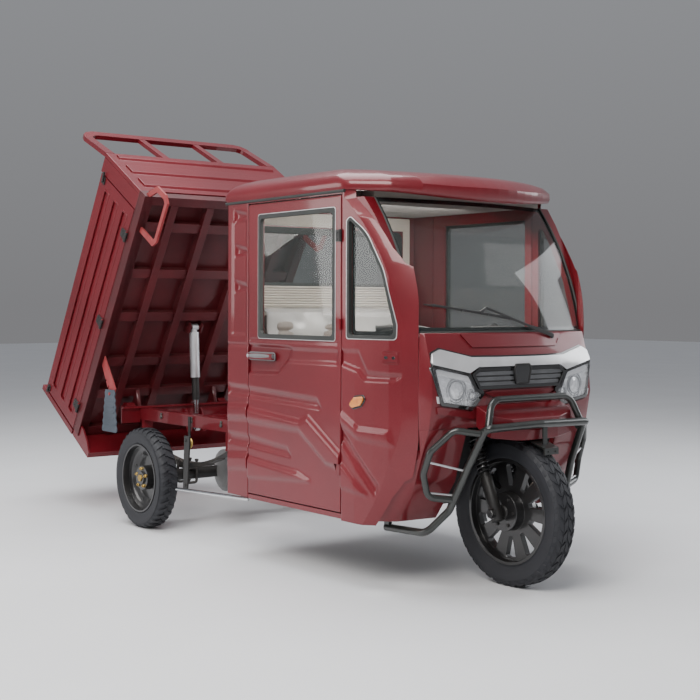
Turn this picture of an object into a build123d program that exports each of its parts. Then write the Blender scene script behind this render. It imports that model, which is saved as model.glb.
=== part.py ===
from build123d import *
from math import sin, cos, tan, radians, degrees, atan2, hypot
import os

# Electric cargo tricycle with an enclosed cab and a tipping load bed, millimetres.
# X forward, Y to the vehicle's left, Z up from the ground. Every solid is drawn with X
# measured from the front axle and moved forward by FRONT_AXLE_X when it is written, so the
# origin is on the ground under the middle of the whole vehicle with its bed raised.

# ---------------------------------------------------------------- driving dimensions
FRONT_AXLE_X = 1514.75       # front axle ahead of the origin
WHEELBASE = 2081.0
FRONT_TYRE_D = 604.0
FRONT_TYRE_W = 110.0
FRONT_RIM_R = 216.0
REAR_TYRE_D = 508.0
REAR_TYRE_W = 104.0
REAR_RIM_R = 172.0
REAR_FACE_Y = 594.0          # outer face of a rear tyre
RAKE = 23.0                  # steering axis, degrees back from vertical
CAB_HALF = 567.0             # half width of the cab
CAB_REAR_X = -1267.0
CAB_BOTTOM_Z = 274.0
ROOF_SEAL_Z = 1603.0
SKIN = 28.0                  # depth of a formed side panel
DOOR_REAR_X = -1094.0
DOOR_FRONT_X = -417.0
DOOR_BOTTOM_Z = 296.0
DOOR_TOP_Z = 1584.0
GAP = 5.5                    # gap around a door
FLOOR_Z = 330.0              # top of the cab floor
RAIL_Y0, RAIL_Y1 = 270.0, 330.0
RAIL_Z0, RAIL_Z1 = 506.0, 568.0
BED_HALF = 550.0
BED_ANGLE = 59.0             # raised
BED_O = (-2700.0, 420.0)     # bed frame's own origin, X and Z, raised
HINGE_UV = (106.0, 95.0)     # tipping pivot in the bed's own u, v
CYL_UV = (600.0, 150.0)      # cylinder's upper pin in the bed's own u, v
CYL_BASE = (-2488.0, 450.0)  # cylinder's lower pin, X and Z

REAR_AXLE_X = -WHEELBASE
FRONT_R = FRONT_TYRE_D / 2
REAR_R = REAR_TYRE_D / 2
SR, CR = sin(radians(RAKE)), cos(radians(RAKE))
SB, CB = sin(radians(BED_ANGLE)), cos(radians(BED_ANGLE))

os.makedirs("parts", exist_ok=True)
SIDES = (("right", -1), ("left", 1))


# ---------------------------------------------------------------- helpers
NODES = {}


def put(name, shape):
    """Add a shape's solids to a node; a node may hold several separate solids."""
    NODES.setdefault(name, []).extend((Pos(FRONT_AXLE_X, 0, 0) * shape).solids())


def box(x0, x1, y0, y1, z0, z1):
    return Pos((x0 + x1) / 2, (y0 + y1) / 2, (z0 + z1) / 2) * Box(abs(x1 - x0), abs(y1 - y0), abs(z1 - z0))


def slab_xz(points, y0, y1):
    """Polygon in X, Z pushed from y0 to y1."""
    face = make_face(Polyline(*[(x, min(y0, y1), z) for x, z in points], close=True))
    return extrude(face, amount=abs(y1 - y0), dir=(0, 1, 0))


def slab_yz(points, x0, x1):
    face = make_face(Polyline(*[(min(x0, x1), y, z) for y, z in points], close=True))
    return extrude(face, amount=abs(x1 - x0), dir=(1, 0, 0))


def slab_xy(points, z0, z1):
    face = make_face(Polyline(*[(x, y, min(z0, z1)) for x, y in points], close=True))
    return extrude(face, amount=abs(z1 - z0), dir=(0, 0, 1))


def rod(a, b, r):
    """Round bar from a to b."""
    a, b = Vector(*a), Vector(*b)
    d = b - a
    return extrude(Plane(origin=a, z_dir=d) * Circle(r), amount=d.length)


def pipe(points, r, bend):
    """Round bar along a path of straight runs and tangent bends."""
    path = FilletPolyline(*points, radius=bend)
    start = Vector(*points[0])
    heading = Vector(*points[1]) - start
    return sweep(Plane(origin=start, z_dir=heading) * Circle(r), path=path)


def beam(a, b, w, h, up=(0, 0, 1)):
    """Square bar from a to b: w across, h along up."""
    a, b = Vector(*a), Vector(*b)
    d = b - a
    x = Vector(*up).cross(d)
    return extrude(Plane(origin=a, x_dir=x, z_dir=d) * Rectangle(w, h), amount=d.length)


def ring_y(x, y0, y1, z, r, r_in=0.0):
    """Disc or ring with its axis along Y."""
    y0, y1 = min(y0, y1), max(y0, y1)
    sk = Circle(r)
    if r_in:
        sk -= Circle(r_in)
    return extrude(Plane(origin=(x, y0, z), z_dir=(0, 1, 0)) * sk, amount=y1 - y0)


def turned_y(profile, x, y, z):
    """Profile of (radius, y) turned about the Y axis through x, y, z."""
    face = make_face(Polyline(*[(r, yy) for r, yy in profile], close=True))
    return Pos(x, y, z) * revolve(face, Axis.Y)


def both(fn):
    for name, s in SIDES:
        fn(name, s)


# ---------------------------------------------------------------- wheels
def tyre(r, r_in, w, x, y, z):
    h = w / 2
    shape = turned_y([(r_in, -h * 0.74), (r_in + 16, -h * 0.93), (r - 0.42 * (r - r_in), -h), (r - 24, -h * 0.95),
                      (r - 7, -h * 0.72), (r, -h * 0.30), (r, h * 0.30), (r - 7, h * 0.72), (r - 24, h * 0.95),
                      (r - 0.42 * (r - r_in), h), (r_in + 16, h * 0.93), (r_in, h * 0.74)], 0, 0, 0)
    return Pos(x, y, z) * shape


put("front_tyre", tyre(FRONT_R, FRONT_RIM_R, FRONT_TYRE_W, 0, 0, FRONT_R))

# cast front rim: barrel, web with ten slots, wide brake hub
barrel = ring_y(0, -42, 42, FRONT_R, FRONT_RIM_R, FRONT_RIM_R - 14)
web = ring_y(0, -13, 13, FRONT_R, FRONT_RIM_R - 13, 70)
hub = ring_y(0, -58, 58, FRONT_R, 78, 10.05)
SLOTS = 10
slot = make_face(Polyline((104, -9), (104, 9), (182, 27), (190, 20), (190, -20), (182, -27), close=True))
slot = extrude(Plane(origin=(0, 0, 0), x_dir=(1, 0, 0), z_dir=(0, -1, 0)) * slot, amount=40, both=True)
for i in range(SLOTS):
    web -= Pos(0, 0, FRONT_R) * Rot(0, 360 / SLOTS * (i + 0.5), 0) * slot
put("front_rim", barrel + web + hub)


def rear_wheel(name, s):
    y = s * (REAR_FACE_Y - REAR_TYRE_W / 2)
    put(f"rear_tyre_{name}", tyre(REAR_R, REAR_RIM_R, REAR_TYRE_W, REAR_AXLE_X, y, REAR_R))
    rim = ring_y(REAR_AXLE_X, y - 46, y + 46, REAR_R, REAR_RIM_R, REAR_RIM_R - 8)
    disc = turned_y([(60, 0), (60, 8), (110, 8), (136, 30), (REAR_RIM_R - 7, 36), (REAR_RIM_R - 7, 28), (140, 22),
                     (114, 0)], 0, 0, 0)
    if s < 0:
        disc = mirror(disc, Plane.XZ)
    disc = Pos(REAR_AXLE_X, y - s * 24, REAR_R) * disc
    drum = ring_y(REAR_AXLE_X, s * 458, y - s * 24, REAR_R, 96, 17.56)
    cap = ring_y(REAR_AXLE_X, y - s * 24, y + s * 26, REAR_R, 61, 17.56)
    cap += ring_y(REAR_AXLE_X, y + s * 26, y + s * 34, REAR_R, 34)
    put(f"rear_rim_{name}", rim + disc + drum + cap)


both(rear_wheel)

# ---------------------------------------------------------------- steering


def on_steer(s, y=0.0):
    """Point at distance s up the steering axis from the front axle."""
    return (-s * SR, y, FRONT_R + s * CR)


FORK_Y = 96.0
YOKE_S = 362.0
legs = None
for name, s in SIDES:
    leg = rod(on_steer(-34, s * FORK_Y), on_steer(150, s * FORK_Y), 25) + rod(on_steer(148, s * FORK_Y), on_steer(YOKE_S + 20, s * FORK_Y), 19)
    leg -= rod((0, s * 60, FRONT_R), (0, s * 140, FRONT_R), 10.0)
    legs = leg if legs is None else legs + leg
yoke = beam(on_steer(YOKE_S, -128), on_steer(YOKE_S, 128), 62, 34, up=(-SR, 0, CR))
put("fork", legs + yoke + rod((0, -132, FRONT_R), (0, 132, FRONT_R), 10.0))
column = rod(on_steer(YOKE_S + 17), on_steer(744), 17)
clamp = beam(on_steer(756, -40), on_steer(756, 40), 46, 30, up=(-SR, 0, CR))
bx, _, bz = on_steer(782)
HANDLE = [(bx - 150, -345, bz + 12), (bx - 40, -230, bz + 22), (bx, -90, bz), (bx, 90, bz), (bx - 40, 230, bz + 22), (bx - 150, 345, bz + 12)]
bar = pipe(HANDLE, 11, 45)
bars = column + clamp + bar
for name, s in SIDES:
    a = Vector(bx - 150, s * 345, bz + 12)
    b = Vector(bx - 40, s * 230, bz + 22)
    d = (b - a).normalized()
    bars += rod(tuple(a - d * 4), tuple(a + d * 112), 17)
put("handlebar", bars)

# ---------------------------------------------------------------- chassis


def rails(name, s):
    rail = box(-2760, -1000, s * RAIL_Y0, s * RAIL_Y1, RAIL_Z0, RAIL_Z1)
    hx = BED_O[0] + HINGE_UV[0] * CB - HINGE_UV[1] * SB
    hz = BED_O[1] + HINGE_UV[0] * SB + HINGE_UV[1] * CB
    pin = ring_y(hx, s * 232, s * 345, hz, 12)
    ear = slab_xz([(hx - 32, RAIL_Z1), (hx + 32, RAIL_Z1), (hx + 18, hz + 26), (hx - 18, hz + 26)], s * 276, s * 324) if hz + 26 > RAIL_Z1 else None
    rail = rail + pin
    if ear is not None:
        rail = rail + ear
    put("chassis_frame", rail)


both(rails)
CROSS = (  # x0, x1, z0, z1
    (-2660, -2610, 508, 560),
    (-2010, -1960, 508, 562),
    (-1330, -1285, 508, 562),
)
for i, (x0, x1, z0, z1) in enumerate(CROSS):
    put("chassis_frame", box(x0, x1, -RAIL_Y0, RAIL_Y0, z0, z1))

# transverse plate that carries the cylinder's foot, with two ears that go down and forward
plate = box(-2550, -2540, -441, 441, 490, 579) + box(-2550, -2525, -441, 441, 569, 579)
for name, s in SIDES:
    plate -= box(-2600, -2500, s * (RAIL_Y0 - 0.5), s * (RAIL_Y1 + 0.5), 480, RAIL_Z1 + 0.01)
foot = None
for s in (-1, 1):
    ear = slab_xz([(-2540, 552), (-2520, 552), (-2466, 466), (-2466, 430), (-2500, 422), (-2540, 496)], s * 44, s * 54)
    foot = ear if foot is None else foot + ear
    foot += ring_y(CYL_BASE[0], s * 32, s * 54, CYL_BASE[1], 12)
put("chassis_frame", plate + foot)


def springs(name, s):
    y0, y1 = s * 274, s * 326
    r = 930.0
    leaves = None
    LEAVES = ((430, 0), (330, 1), (230, 2))       # half length, how many leaves down
    for half, k in LEAVES:
        zc = 318.0 - 8.5 * k
        a = half / r
        zu = zc + r * (1 - cos(a))
        top = ThreePointArc((REAR_AXLE_X - half, y0, zu), (REAR_AXLE_X, y0, zc), (REAR_AXLE_X + half, y0, zu))
        bot = ThreePointArc((REAR_AXLE_X + half, y0, zu - 8), (REAR_AXLE_X, y0, zc - 8), (REAR_AXLE_X - half, y0, zu - 8))
        w = Wire([top, Line(top @ 1, bot @ 0), bot, Line(bot @ 1, top @ 0)])
        leaf = extrude(make_face(w), amount=abs(y1 - y0), dir=(0, s, 0))
        leaves = leaf if leaves is None else leaves + leaf
    zu = 318.0 + r * (1 - cos(430 / r))
    hang = box(REAR_AXLE_X - 446, REAR_AXLE_X - 414, y0, y1, zu - 4, RAIL_Z0) + box(REAR_AXLE_X + 414, REAR_AXLE_X + 446, y0, y1, zu - 4, RAIL_Z0)
    seat = box(REAR_AXLE_X - 55, REAR_AXLE_X + 55, y0, y1, 284, 294.5)
    put("leaf_springs", leaves + seat)
    put("chassis_frame", hang - leaves)


both(springs)
axle = rod((REAR_AXLE_X, -440, REAR_R), (REAR_AXLE_X, 440, REAR_R), 30)
axle += rod((REAR_AXLE_X, -533, REAR_R), (REAR_AXLE_X, 533, REAR_R), 17.5)
for s in (-1, 1):
    axle += ring_y(REAR_AXLE_X, s * 438, s * 451, REAR_R, 100)
put("rear_axle", axle)
drive = ring_y(REAR_AXLE_X, -70, 70, REAR_R, 112, 30) + ring_y(REAR_AXLE_X + 150, -160, 40, REAR_R + 12, 84)
drive += box(REAR_AXLE_X, REAR_AXLE_X + 150, -68, 38, REAR_R + 34, REAR_R + 92)
put("drive_unit", drive - rod((REAR_AXLE_X, -440, REAR_R), (REAR_AXLE_X, 440, REAR_R), 30))


def side_rod(name, s):
    y = s * 548
    put("underrun_rods", rod((-1124, y, 262), (-1758, y, 232), 9))
    put("underrun_rods", slab_xz([(-1700, 243.8), (-1660, 245.6), (-1640, 500), (-1690, 500)], s * 541, s * 549)
        + box(-1690, -1640, s * RAIL_Y1, s * 549, 500, 506))


both(side_rod)

# plan of a side panel ahead of the door: x, y of its outer face, then of its inner face
SIDE_PLAN = ((-420, 567), (-330, 562.5), (-230, 549), (-150, 535), (-94, 514), (-40, 480))
SIDE_PLAN_IN = ((-420, 539), (-334, 535), (-236, 521.5), (-160, 508), (-107, 488), (-55, 456))


def between(z0=200.0, z1=1700.0, gap=0.4):
    """Everything between the two side panels' inner faces."""
    pts = [(-1200, -(539 - gap))] + [(x, -(y - gap)) for x, y in SIDE_PLAN_IN] + [(300, -230)]
    pts += [(300, 230)] + [(x, y - gap) for x, y in reversed(SIDE_PLAN_IN)] + [(-1200, 539 - gap)]
    return slab_xy(pts, z0, z1)


def between_front(z0=200.0, z1=1700.0, gap=0.4):
    """Everything between the two side panels' inner faces."""
    pts = [(-1200, -(539 - gap))] + [(x, -(y - gap)) for x, y in SIDE_PLAN_IN] + [(-38.8, -(479.5 - gap)), (-36, -485), (0, -500), (300, -500)]
    pts += [(300, 500), (0, 500), (-36, 485), (-38.8, 479.5 - gap)] + [(x, y - gap) for x, y in reversed(SIDE_PLAN_IN)] + [(-1200, 539 - gap)]
    return slab_xy(pts, z0, z1)


# cab floor, wheel housing and steering head
ARCH_Y = 255.0
ARCH_X = -352.0
ARCH_Z = 705.0
put("cab_floor", box(CAB_REAR_X + 27, ARCH_X - 4, -CAB_HALF + SKIN + 0.2, CAB_HALF - SKIN - 0.2, 290, FLOOR_Z) & between(gap=0.2))
for name, s in SIDES:
    put("cab_floor", box(ARCH_X - 4, -286, s * (ARCH_Y + 6), s * (CAB_HALF - SKIN), 290, FLOOR_Z) & between())
    put("wheel_housing", slab_xz([(ARCH_X, 296), (-200, 296), (-84, 470), (-10, 650), (-8, ARCH_Z), (ARCH_X, ARCH_Z)], s * ARCH_Y, s * (ARCH_Y + 6)))
hole = rod(on_steer(380), on_steer(520), 27)
put("wheel_housing", box(ARCH_X, -8, -ARCH_Y - 6, ARCH_Y + 6, ARCH_Z, ARCH_Z + 6) - hole)
put("wheel_housing", box(ARCH_X - 4, ARCH_X, -ARCH_Y - 6, ARCH_Y + 6, FLOOR_Z, ARCH_Z + 6))


def behind(s, d):
    """Point at distance s up the steering axis and d behind it."""
    return (-s * SR - d * CR, FRONT_R + s * CR - d * SR)


block = beam(on_steer(462), on_steer(600), 60, 60, up=(CR, 0, SR)) - rod(on_steer(440), on_steer(640), 17.06)
gusset = slab_xz([behind(478, 24), behind(582, 24), (ARCH_X - 60, ARCH_Z + 30), (ARCH_X - 96, FLOOR_Z), (ARCH_X - 4, FLOOR_Z), (ARCH_X - 4, ARCH_Z + 6), (-228, ARCH_Z + 6)], -22, 22)
put("steering_head", block + gusset)

# ---------------------------------------------------------------- cab shell
# front edge of a side panel: X for each Z, from the roof down to the sill
# (taken where the panel's plan curve passes y 515; the end face slants forward and inward)
EDGE = ((-330, 1574), (-162, 1350), (-98, 1002), (-94, 890), (-96, 775), (-104, 604), (-233, 262))
SLANT = (1.0, -0.775)          # direction of the front end face, x and outward y


def edge_wire(dx, y, z_top=None):
    a = ThreePointArc((EDGE[0][0] + dx, y, EDGE[0][1]), (EDGE[1][0] + dx, y, EDGE[1][1]), (EDGE[2][0] + dx, y, EDGE[2][1]))
    b = ThreePointArc((EDGE[2][0] + dx, y, EDGE[2][1]), (EDGE[3][0] + dx, y, EDGE[3][1]), (EDGE[4][0] + dx, y, EDGE[4][1]))
    c = ThreePointArc((EDGE[4][0] + dx, y, EDGE[4][1]), (EDGE[5][0] + dx, y, EDGE[5][1]), (EDGE[6][0] + dx, y, EDGE[6][1]))
    return [a, b, c]


def side_plan(s, z0=200.0, z1=1700.0):
    """Curved strip that a side panel is cut from."""
    pts = [(x, s * y) for x, y in SIDE_PLAN] + [(x, s * y) for x, y in reversed(SIDE_PLAN_IN)]
    return slab_xy(pts, z0, z1)


QUARTER = ((-374, 1008), (-123, 1008), (-121, 1060), (-179, 1270), (-267, 1424), (-358, 1488), (-374, 1476))


def front_side(name, s):
    y0, y1 = s * (CAB_HALF - SKIN), s * CAB_HALF
    ylo = min(y0, y1)
    y_ref = s * 575.0
    shift = -60.0 / 0.775      # from y 515 out to the reference plane
    arcs = edge_wire(shift, y_ref)
    xf = -560.0
    lines = [Line((xf, y_ref, ROOF_SEAL_Z), (EDGE[0][0] + shift, y_ref, ROOF_SEAL_Z)), Line((EDGE[0][0] + shift, y_ref, ROOF_SEAL_Z), (EDGE[0][0] + shift, y_ref, EDGE[0][1]))]
    end = [Line((EDGE[6][0] + shift, y_ref, EDGE[6][1]), (xf, y_ref, CAB_BOTTOM_Z - 8)), Line((xf, y_ref, CAB_BOTTOM_Z - 8), (xf, y_ref, ROOF_SEAL_Z))]
    outline = extrude(make_face(Wire(lines + arcs + end)), amount=170, dir=(SLANT[0], s * SLANT[1], 0))
    panel = (side_plan(s) & outline) & box(DOOR_FRONT_X + GAP, 100, -700, 700, 200, 1700)
    cut = slab_xz(QUARTER, s * 440, s * 600)
    put(f"side_front_{name}", panel - cut)
    mid = [(x, s * (y - 12)) for x, y in SIDE_PLAN] + [(x, s * (y - 17)) for x, y in reversed(SIDE_PLAN)]
    put("fixed_glass", slab_xy(mid, 990, 1500) & cut)
    put(f"side_rear_{name}", box(CAB_REAR_X, DOOR_REAR_X - GAP, y0, y1, CAB_BOTTOM_Z, ROOF_SEAL_Z))
    put(f"side_rear_{name}", box(DOOR_REAR_X - GAP, DOOR_FRONT_X + GAP, y0, y1 - s * 2, CAB_BOTTOM_Z - 4, DOOR_BOTTOM_Z - GAP))
    put(f"side_rear_{name}", box(DOOR_REAR_X - GAP, DOOR_FRONT_X + GAP, y0, y1, DOOR_TOP_Z + GAP, ROOF_SEAL_Z))


both(front_side)

# rear wall with its window
WIN_Y, WIN_Z0, WIN_Z1 = 440.0, 1228.0, 1492.0
wall = box(CAB_REAR_X, CAB_REAR_X + 26, -CAB_HALF + SKIN, CAB_HALF - SKIN, 290, ROOF_SEAL_Z)
for s in (-1, 1):
    wall -= box(CAB_REAR_X - 5, CAB_REAR_X + 40, s * (RAIL_Y0 - 1), s * (RAIL_Y1 + 1), RAIL_Z0 - 1, RAIL_Z1 + 1)
wall -= box(CAB_REAR_X - 5, CAB_REAR_X + 40, -WIN_Y, WIN_Y, WIN_Z0, WIN_Z1)
put("rear_wall", wall)
put("fixed_glass", box(CAB_REAR_X + 10, CAB_REAR_X + 15, -WIN_Y, WIN_Y, WIN_Z0, WIN_Z1))

# windshield pillars and windshield
PILLAR_IN = 474.0


# glass: z, x at its side edge (y 474), x in the middle
GLASS = ((1029.5, -64, -12), (1119, -84, -30), (1249, -122, -64), (1404, -198, -138), (1500, -258, -196), (1574, -314, -250))


def glass_plan(z, xe, xm, off):
    o = ThreePointArc((xe - off, -PILLAR_IN, z), (xm - off, 0, z), (xe - off, PILLAR_IN, z))
    i = ThreePointArc((xe - off - 6, -PILLAR_IN, z), (xm - off - 6, 0, z), (xe - off - 6, PILLAR_IN, z))
    return make_face(Wire([o, Line(o @ 1, i @ 1), i, Line(i @ 0, o @ 0)]))


put("windshield", loft([glass_plan(z, xe, xm, 0) for z, xe, xm in GLASS], ruled=True) & between(gap=0.6))


def pillar(name, s):
    front = [(xe + 3, z) for z, xe, xm in GLASS]
    back = [(xe - 44, z) for z, xe, xm in reversed(GLASS)]
    put("windshield_pillars", slab_xz(front + back, s * (PILLAR_IN + 0.4), s * 545) & between())


both(pillar)

# front fascia, from under the lamps up to the windshield, as a hollow loft of five plan sections
FASCIA = (  # z, x at the side edge, x at the lamp's outer corner, x in the middle
    (655.0, -149.0, -8.0, 22.0),
    (775.0, -142.0, 14.0, 34.0),
    (902.0, -158.0, 4.0, 40.0),
    (960.0, -128.0, -14.0, 22.0),
    (1029.0, -102.0, -34.0, -8.0),
)


def plan(z, xe, xl, xm, inset):
    h = CAB_HALF - SKIN - 0.0
    pts_r = [(xe - inset, -h), (xl - inset, -452.0)]
    back = xe - 60.0 - inset
    if inset:
        h -= 6.0
        pts_r = [(xe - inset, -h), (xl - inset, -452.0 + 3)]
        back = xe - 80.0
    mid = ThreePointArc((pts_r[1][0], pts_r[1][1], z), (xm - inset, 0, z), (pts_r[1][0], -pts_r[1][1], z))
    w = Wire([Line((back, -h, z), (pts_r[0][0], -h, z)), Line((pts_r[0][0], -h, z), (pts_r[1][0], pts_r[1][1], z)), mid,
              Line((pts_r[1][0], -pts_r[1][1], z), (pts_r[0][0], h, z)), Line((pts_r[0][0], h, z), (back, h, z)), Line((back, h, z), (back, -h, z))])
    return make_face(w)


outer = loft([plan(z, a, b, c, 0) for z, a, b, c in FASCIA], ruled=True)
inner = loft([plan(z + (-1 if i == 0 else (1 if i == len(FASCIA) - 1 else 0)), a, b, c, 8.0) for i, (z, a, b, c) in enumerate(FASCIA)], ruled=True)
fascia = (outer - inner) & between_front()
solids = sorted(fascia.solids(), key=lambda k: -k.volume)
put("front_fascia", solids[0])

# lower corners of the front, either side of the wheel opening
LEG = (  # z, x at the side, x at 452, x at the inner edge
    (655.0, -149.0, -8.0, 10.0),
    (435.0, -177.0, -90.0, -62.0),
    (276.0, -278.0, -198.0, -176.0),
)


def leg_face(s, z, xe, xm, xi, off):
    h = CAB_HALF - SKIN
    pts = [(xe - off - 8, s * h, z), (xe - off, s * h, z), (xm - off, s * 452, z), (xi - off, s * (ARCH_Y + 7), z), (xi - off - 8, s * (ARCH_Y + 7), z), (xm - off - 8, s * 448, z)]
    return make_face(Polyline(*pts, close=True))


def corner(name, s):
    put("front_corners", loft([leg_face(s, z, a, b, c, 0) for z, a, b, c in LEG], ruled=True) & between_front())


both(corner)

# beak over the front wheel: thin moulding, open underneath
BEAK = [(34, 742), (84, 722), (128, 690), (141, 642), (138, 603), (60, 640), (34, 662)]
BEAK_IN = [(30, 735), (82, 715), (122, 686), (135, 642), (132, 590), (30, 590)]
beak = slab_xz(BEAK, -260, 260) & slab_xy([(20, -242), (84, -240), (106, -228), (133, -120), (141.5, -40), (141.5, 40), (133, 120), (106, 228), (84, 240), (20, 242)], 580, 800)
beak -= slab_xz(BEAK_IN, -260, 260) & slab_xy([(20, -236), (82, -234), (101, -223), (127, -117), (135.5, -39), (135.5, 39), (127, 117), (101, 223), (82, 234), (20, 236)], 570, 790)
put("nose_beak", beak - outer)


# lamps, bright band and grille stand proud of the fascia and follow its curve
def proud(points, out):
    cover = loft([plan(z, a + out, b + out, c + out, 0) for z, a, b, c in FASCIA], ruled=True)
    return (slab_yz(points, -80, 140) & cover) - outer


LAMP = ((455, 905), (277, 868), (241, 806), (201, 796), (258, 730), (412, 754))      # y, z
for name, s in SIDES:
    put("headlamps", proud([(s * y, z) for y, z in LAMP], 10))
BAND = [(-457, 909), (-443, 950), (-402, 966), (-261, 934), (-110, 932), (110, 932), (261, 934), (402, 966), (443, 950), (457, 909), (277, 872), (233, 895), (-233, 895), (-277, 872)]
put("lamp_band", proud(BAND, 12))
GRILLE = [(-268, 866), (-231, 890), (231, 890), (268, 866), (229, 806), (-229, 806)]
badge = proud([(-44, 822), (-54, 870), (-48, 889), (48, 889), (54, 870), (44, 822)], 20)
put("grille", proud(GRILLE, 14) + badge)

# roof: moulded cap with a visor, hollow underneath
ROOF = (  # z, half width, x of the visor's middle, x of the side's front end, x of the rear
    (1604.0, 574.0, -98.0, -392.0, -1302.0),
    (1640.0, 576.0, -82.0, -402.0, -1318.0),
    (1690.0, 520.0, -330.0, -470.0, -1270.0),
    (1714.0, 430.0, -520.0, -580.0, -1180.0),
)


def roof_plan(z, h, xm, xs, xr, t):
    h, xm, xs, xr = h - t, xm - t, xs - t * 0.6, xr + t
    arc = ThreePointArc((xs, -h, z), (xm, 0, z), (xs, h, z)) if xm - xs < 60 else None
    k = 0.80 * h
    xc = xs + 0.62 * (xm - xs)
    front = [Line((xs, -h, z), (xc, -k, z)), ThreePointArc((xc, -k, z), (xm, 0, z), (xc, k, z)), Line((xc, k, z), (xs, h, z))]
    w = Wire([Line((xr, h, z), (xr, -h, z)), Line((xr, -h, z), (xs, -h, z))] + front + [Line((xs, h, z), (xr, h, z))])
    return make_face(w)


roof = loft([roof_plan(*row, 0) for row in ROOF], ruled=True)
hollow = loft([roof_plan(ROOF[0][0] - 1, *ROOF[0][1:], 14), roof_plan(ROOF[1][0], *ROOF[1][1:], 14), roof_plan(ROOF[2][0] - 12, *ROOF[2][1:], 14),
               roof_plan(ROOF[3][0] - 12, *ROOF[3][1:], 14)], ruled=True)
put("roof", roof - hollow)
# frame that closes the roof's underside to the side panels and carries the windshield's top edge
put("roof_liner", slab_xy([(-400, -PILLAR_IN), (-316, -PILLAR_IN), (-268, -240), (-252, 0), (-268, 240), (-316, PILLAR_IN), (-400, PILLAR_IN)], 1574.4, 1603.8))
put("roof_liner", box(CAB_REAR_X + 26.2, -400.2, -CAB_HALF + SKIN + 2.5, CAB_HALF - SKIN - 2.5, 1586, 1603.8))

# ---------------------------------------------------------------- doors


def door(name, s):
    y0, y1 = s * (CAB_HALF - SKIN), s * CAB_HALF
    panel = box(DOOR_REAR_X, DOOR_FRONT_X, y0, y1, DOOR_BOTTOM_Z, DOOR_TOP_Z)
    w = box(-1012, -459, y0 - s * 5, y1 + s * 5, 996, 1532)
    panel -= w
    HINGE_Z = (470.0, 1060.0, 1420.0)
    for z in HINGE_Z:
        panel += rod((DOOR_FRONT_X + 3, s * (CAB_HALF + 6), z - 22), (DOOR_FRONT_X + 3, s * (CAB_HALF + 6), z + 22), 6.0) \
            + box(DOOR_FRONT_X - 26, DOOR_FRONT_X + 3, s * (CAB_HALF - 1), s * (CAB_HALF + 4), z - 22, z + 22)
    put(f"door_glass_{name}", box(-1012, -459, s * (CAB_HALF - 17), s * (CAB_HALF - 12), 996, 1532))
    h = box(-1078, -890, s * CAB_HALF, s * (CAB_HALF + 16), 898, 924) - box(-1062, -1000, s * (CAB_HALF + 0), s * (CAB_HALF + 9), 880, 940)
    put(f"door_panel_{name}", panel + h)


both(door)

# ---------------------------------------------------------------- cab inside
seat_box = box(-1200, -800, -440, 440, FLOOR_Z, 640) - box(-1192, -808, -432, 432, FLOOR_Z - 1, 632)
for s in (-1, 1):
    seat_box -= box(-1240, -990, s * (RAIL_Y0 - 2), s * (RAIL_Y1 + 2), RAIL_Z0 - 2, RAIL_Z1 + 2)
put("seat_base", seat_box)
put("battery_block", box(-1170, -830, -250, 250, FLOOR_Z + 2, 600))
put("seat_cushion", fillet(box(-1185, -760, -455, 455, 641, 735).edges().filter_by(Axis.Y), 22))
back = slab_xz([(-1180, 737), (-1085, 737), (-1130, 1112), (-1205, 1118)], -455, 455)
put("seat_back", fillet(back.edges().filter_by(Axis.Y), 18))
put("dashboard", slab_xz([(-150, 930), (-150, 985), (-110, 1015), (-62, 1015), (-62, 930)], -PILLAR_IN + 4, PILLAR_IN - 4))
put("dashboard", slab_xz([(-150, 985.2), (-112, 1015.2), (-105, 1046), (-176, 1030), (-176, 1004)], -110, 110) - slab_xz([(-150, 930), (-150, 985), (-110, 1015), (-62, 1015), (-62, 930)], -500, 500))

# ---------------------------------------------------------------- bull bar
BAR_R = 16.0
GUARD_R = 13.0
cross = pipe([(96, -277, 640), (146, -277, 662), (158, 0, 668), (146, 277, 662), (96, 277, 640)], BAR_R, 16.5)
hoop = pipe([(124, -262, 668), (102, -222, 768), (102, 222, 768), (124, 262, 668)], 14.0, 60)


def guard(name, s):
    down = pipe([(124, s * 280, 652), (43, s * 300, 491), (-23, s * 330, 331), (-80, s * 400, 242), (-326, s * 400, 232)], 15.0, 55)
    out = pipe([(112, s * 292, 640), (50, s * 372, 655), (-12, s * 440, 570), (-46, s * 446, 479), (-44, s * 425, 389), (-4, s * 318, 372)], GUARD_R, 42)
    tie = box(-330, -300, s * 392, s * 408, 230, 290) - down
    put(f"bar_guard_{name}", (down + out) - cross - hoop + tie)


both(guard)
# tongue under the cross tube with two holes for a number plate
tongue = slab_xz([(127, 598), (198, 574), (198, 548), (192, 548), (192, 569), (123, 592)], -25, 55) + box(158, 164, 3, 27, 584, 662)
for y in (-5.0, 35.0):
    tongue -= Pos(195, y, 560) * Rot(0, 90, 0) * Cylinder(3.5, 20)
put("bull_bar", cross + hoop + tongue)

# wiper
put("wiper", rod((-40, 225, 1010), (0, 225, 1018), 11) + beam((2, 228, 1016), (-20, 4, 1084), 9, 7) + beam((-70 + 14, -420, 1139), (-14, 30, 1078), 8, 8) - outer - loft([glass_plan(z, a2, b2, 0) for z, a2, b2 in GLASS], ruled=True))

# ---------------------------------------------------------------- tipping bed, drawn flat in u, v and raised
BED = Pos(BED_O[0], 0, BED_O[1]) * Rot(0, -BED_ANGLE, 0)
FLOOR_V0, FLOOR_V1 = 175.0, 181.0
BEAM_V0, BEAM_V1 = 125.0, 193.0
BED_U0, BED_U1 = -95.0, 1409.0
GATE_V0 = 199.0


def put_bed(name, shape):
    put(name, BED * shape)


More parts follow.
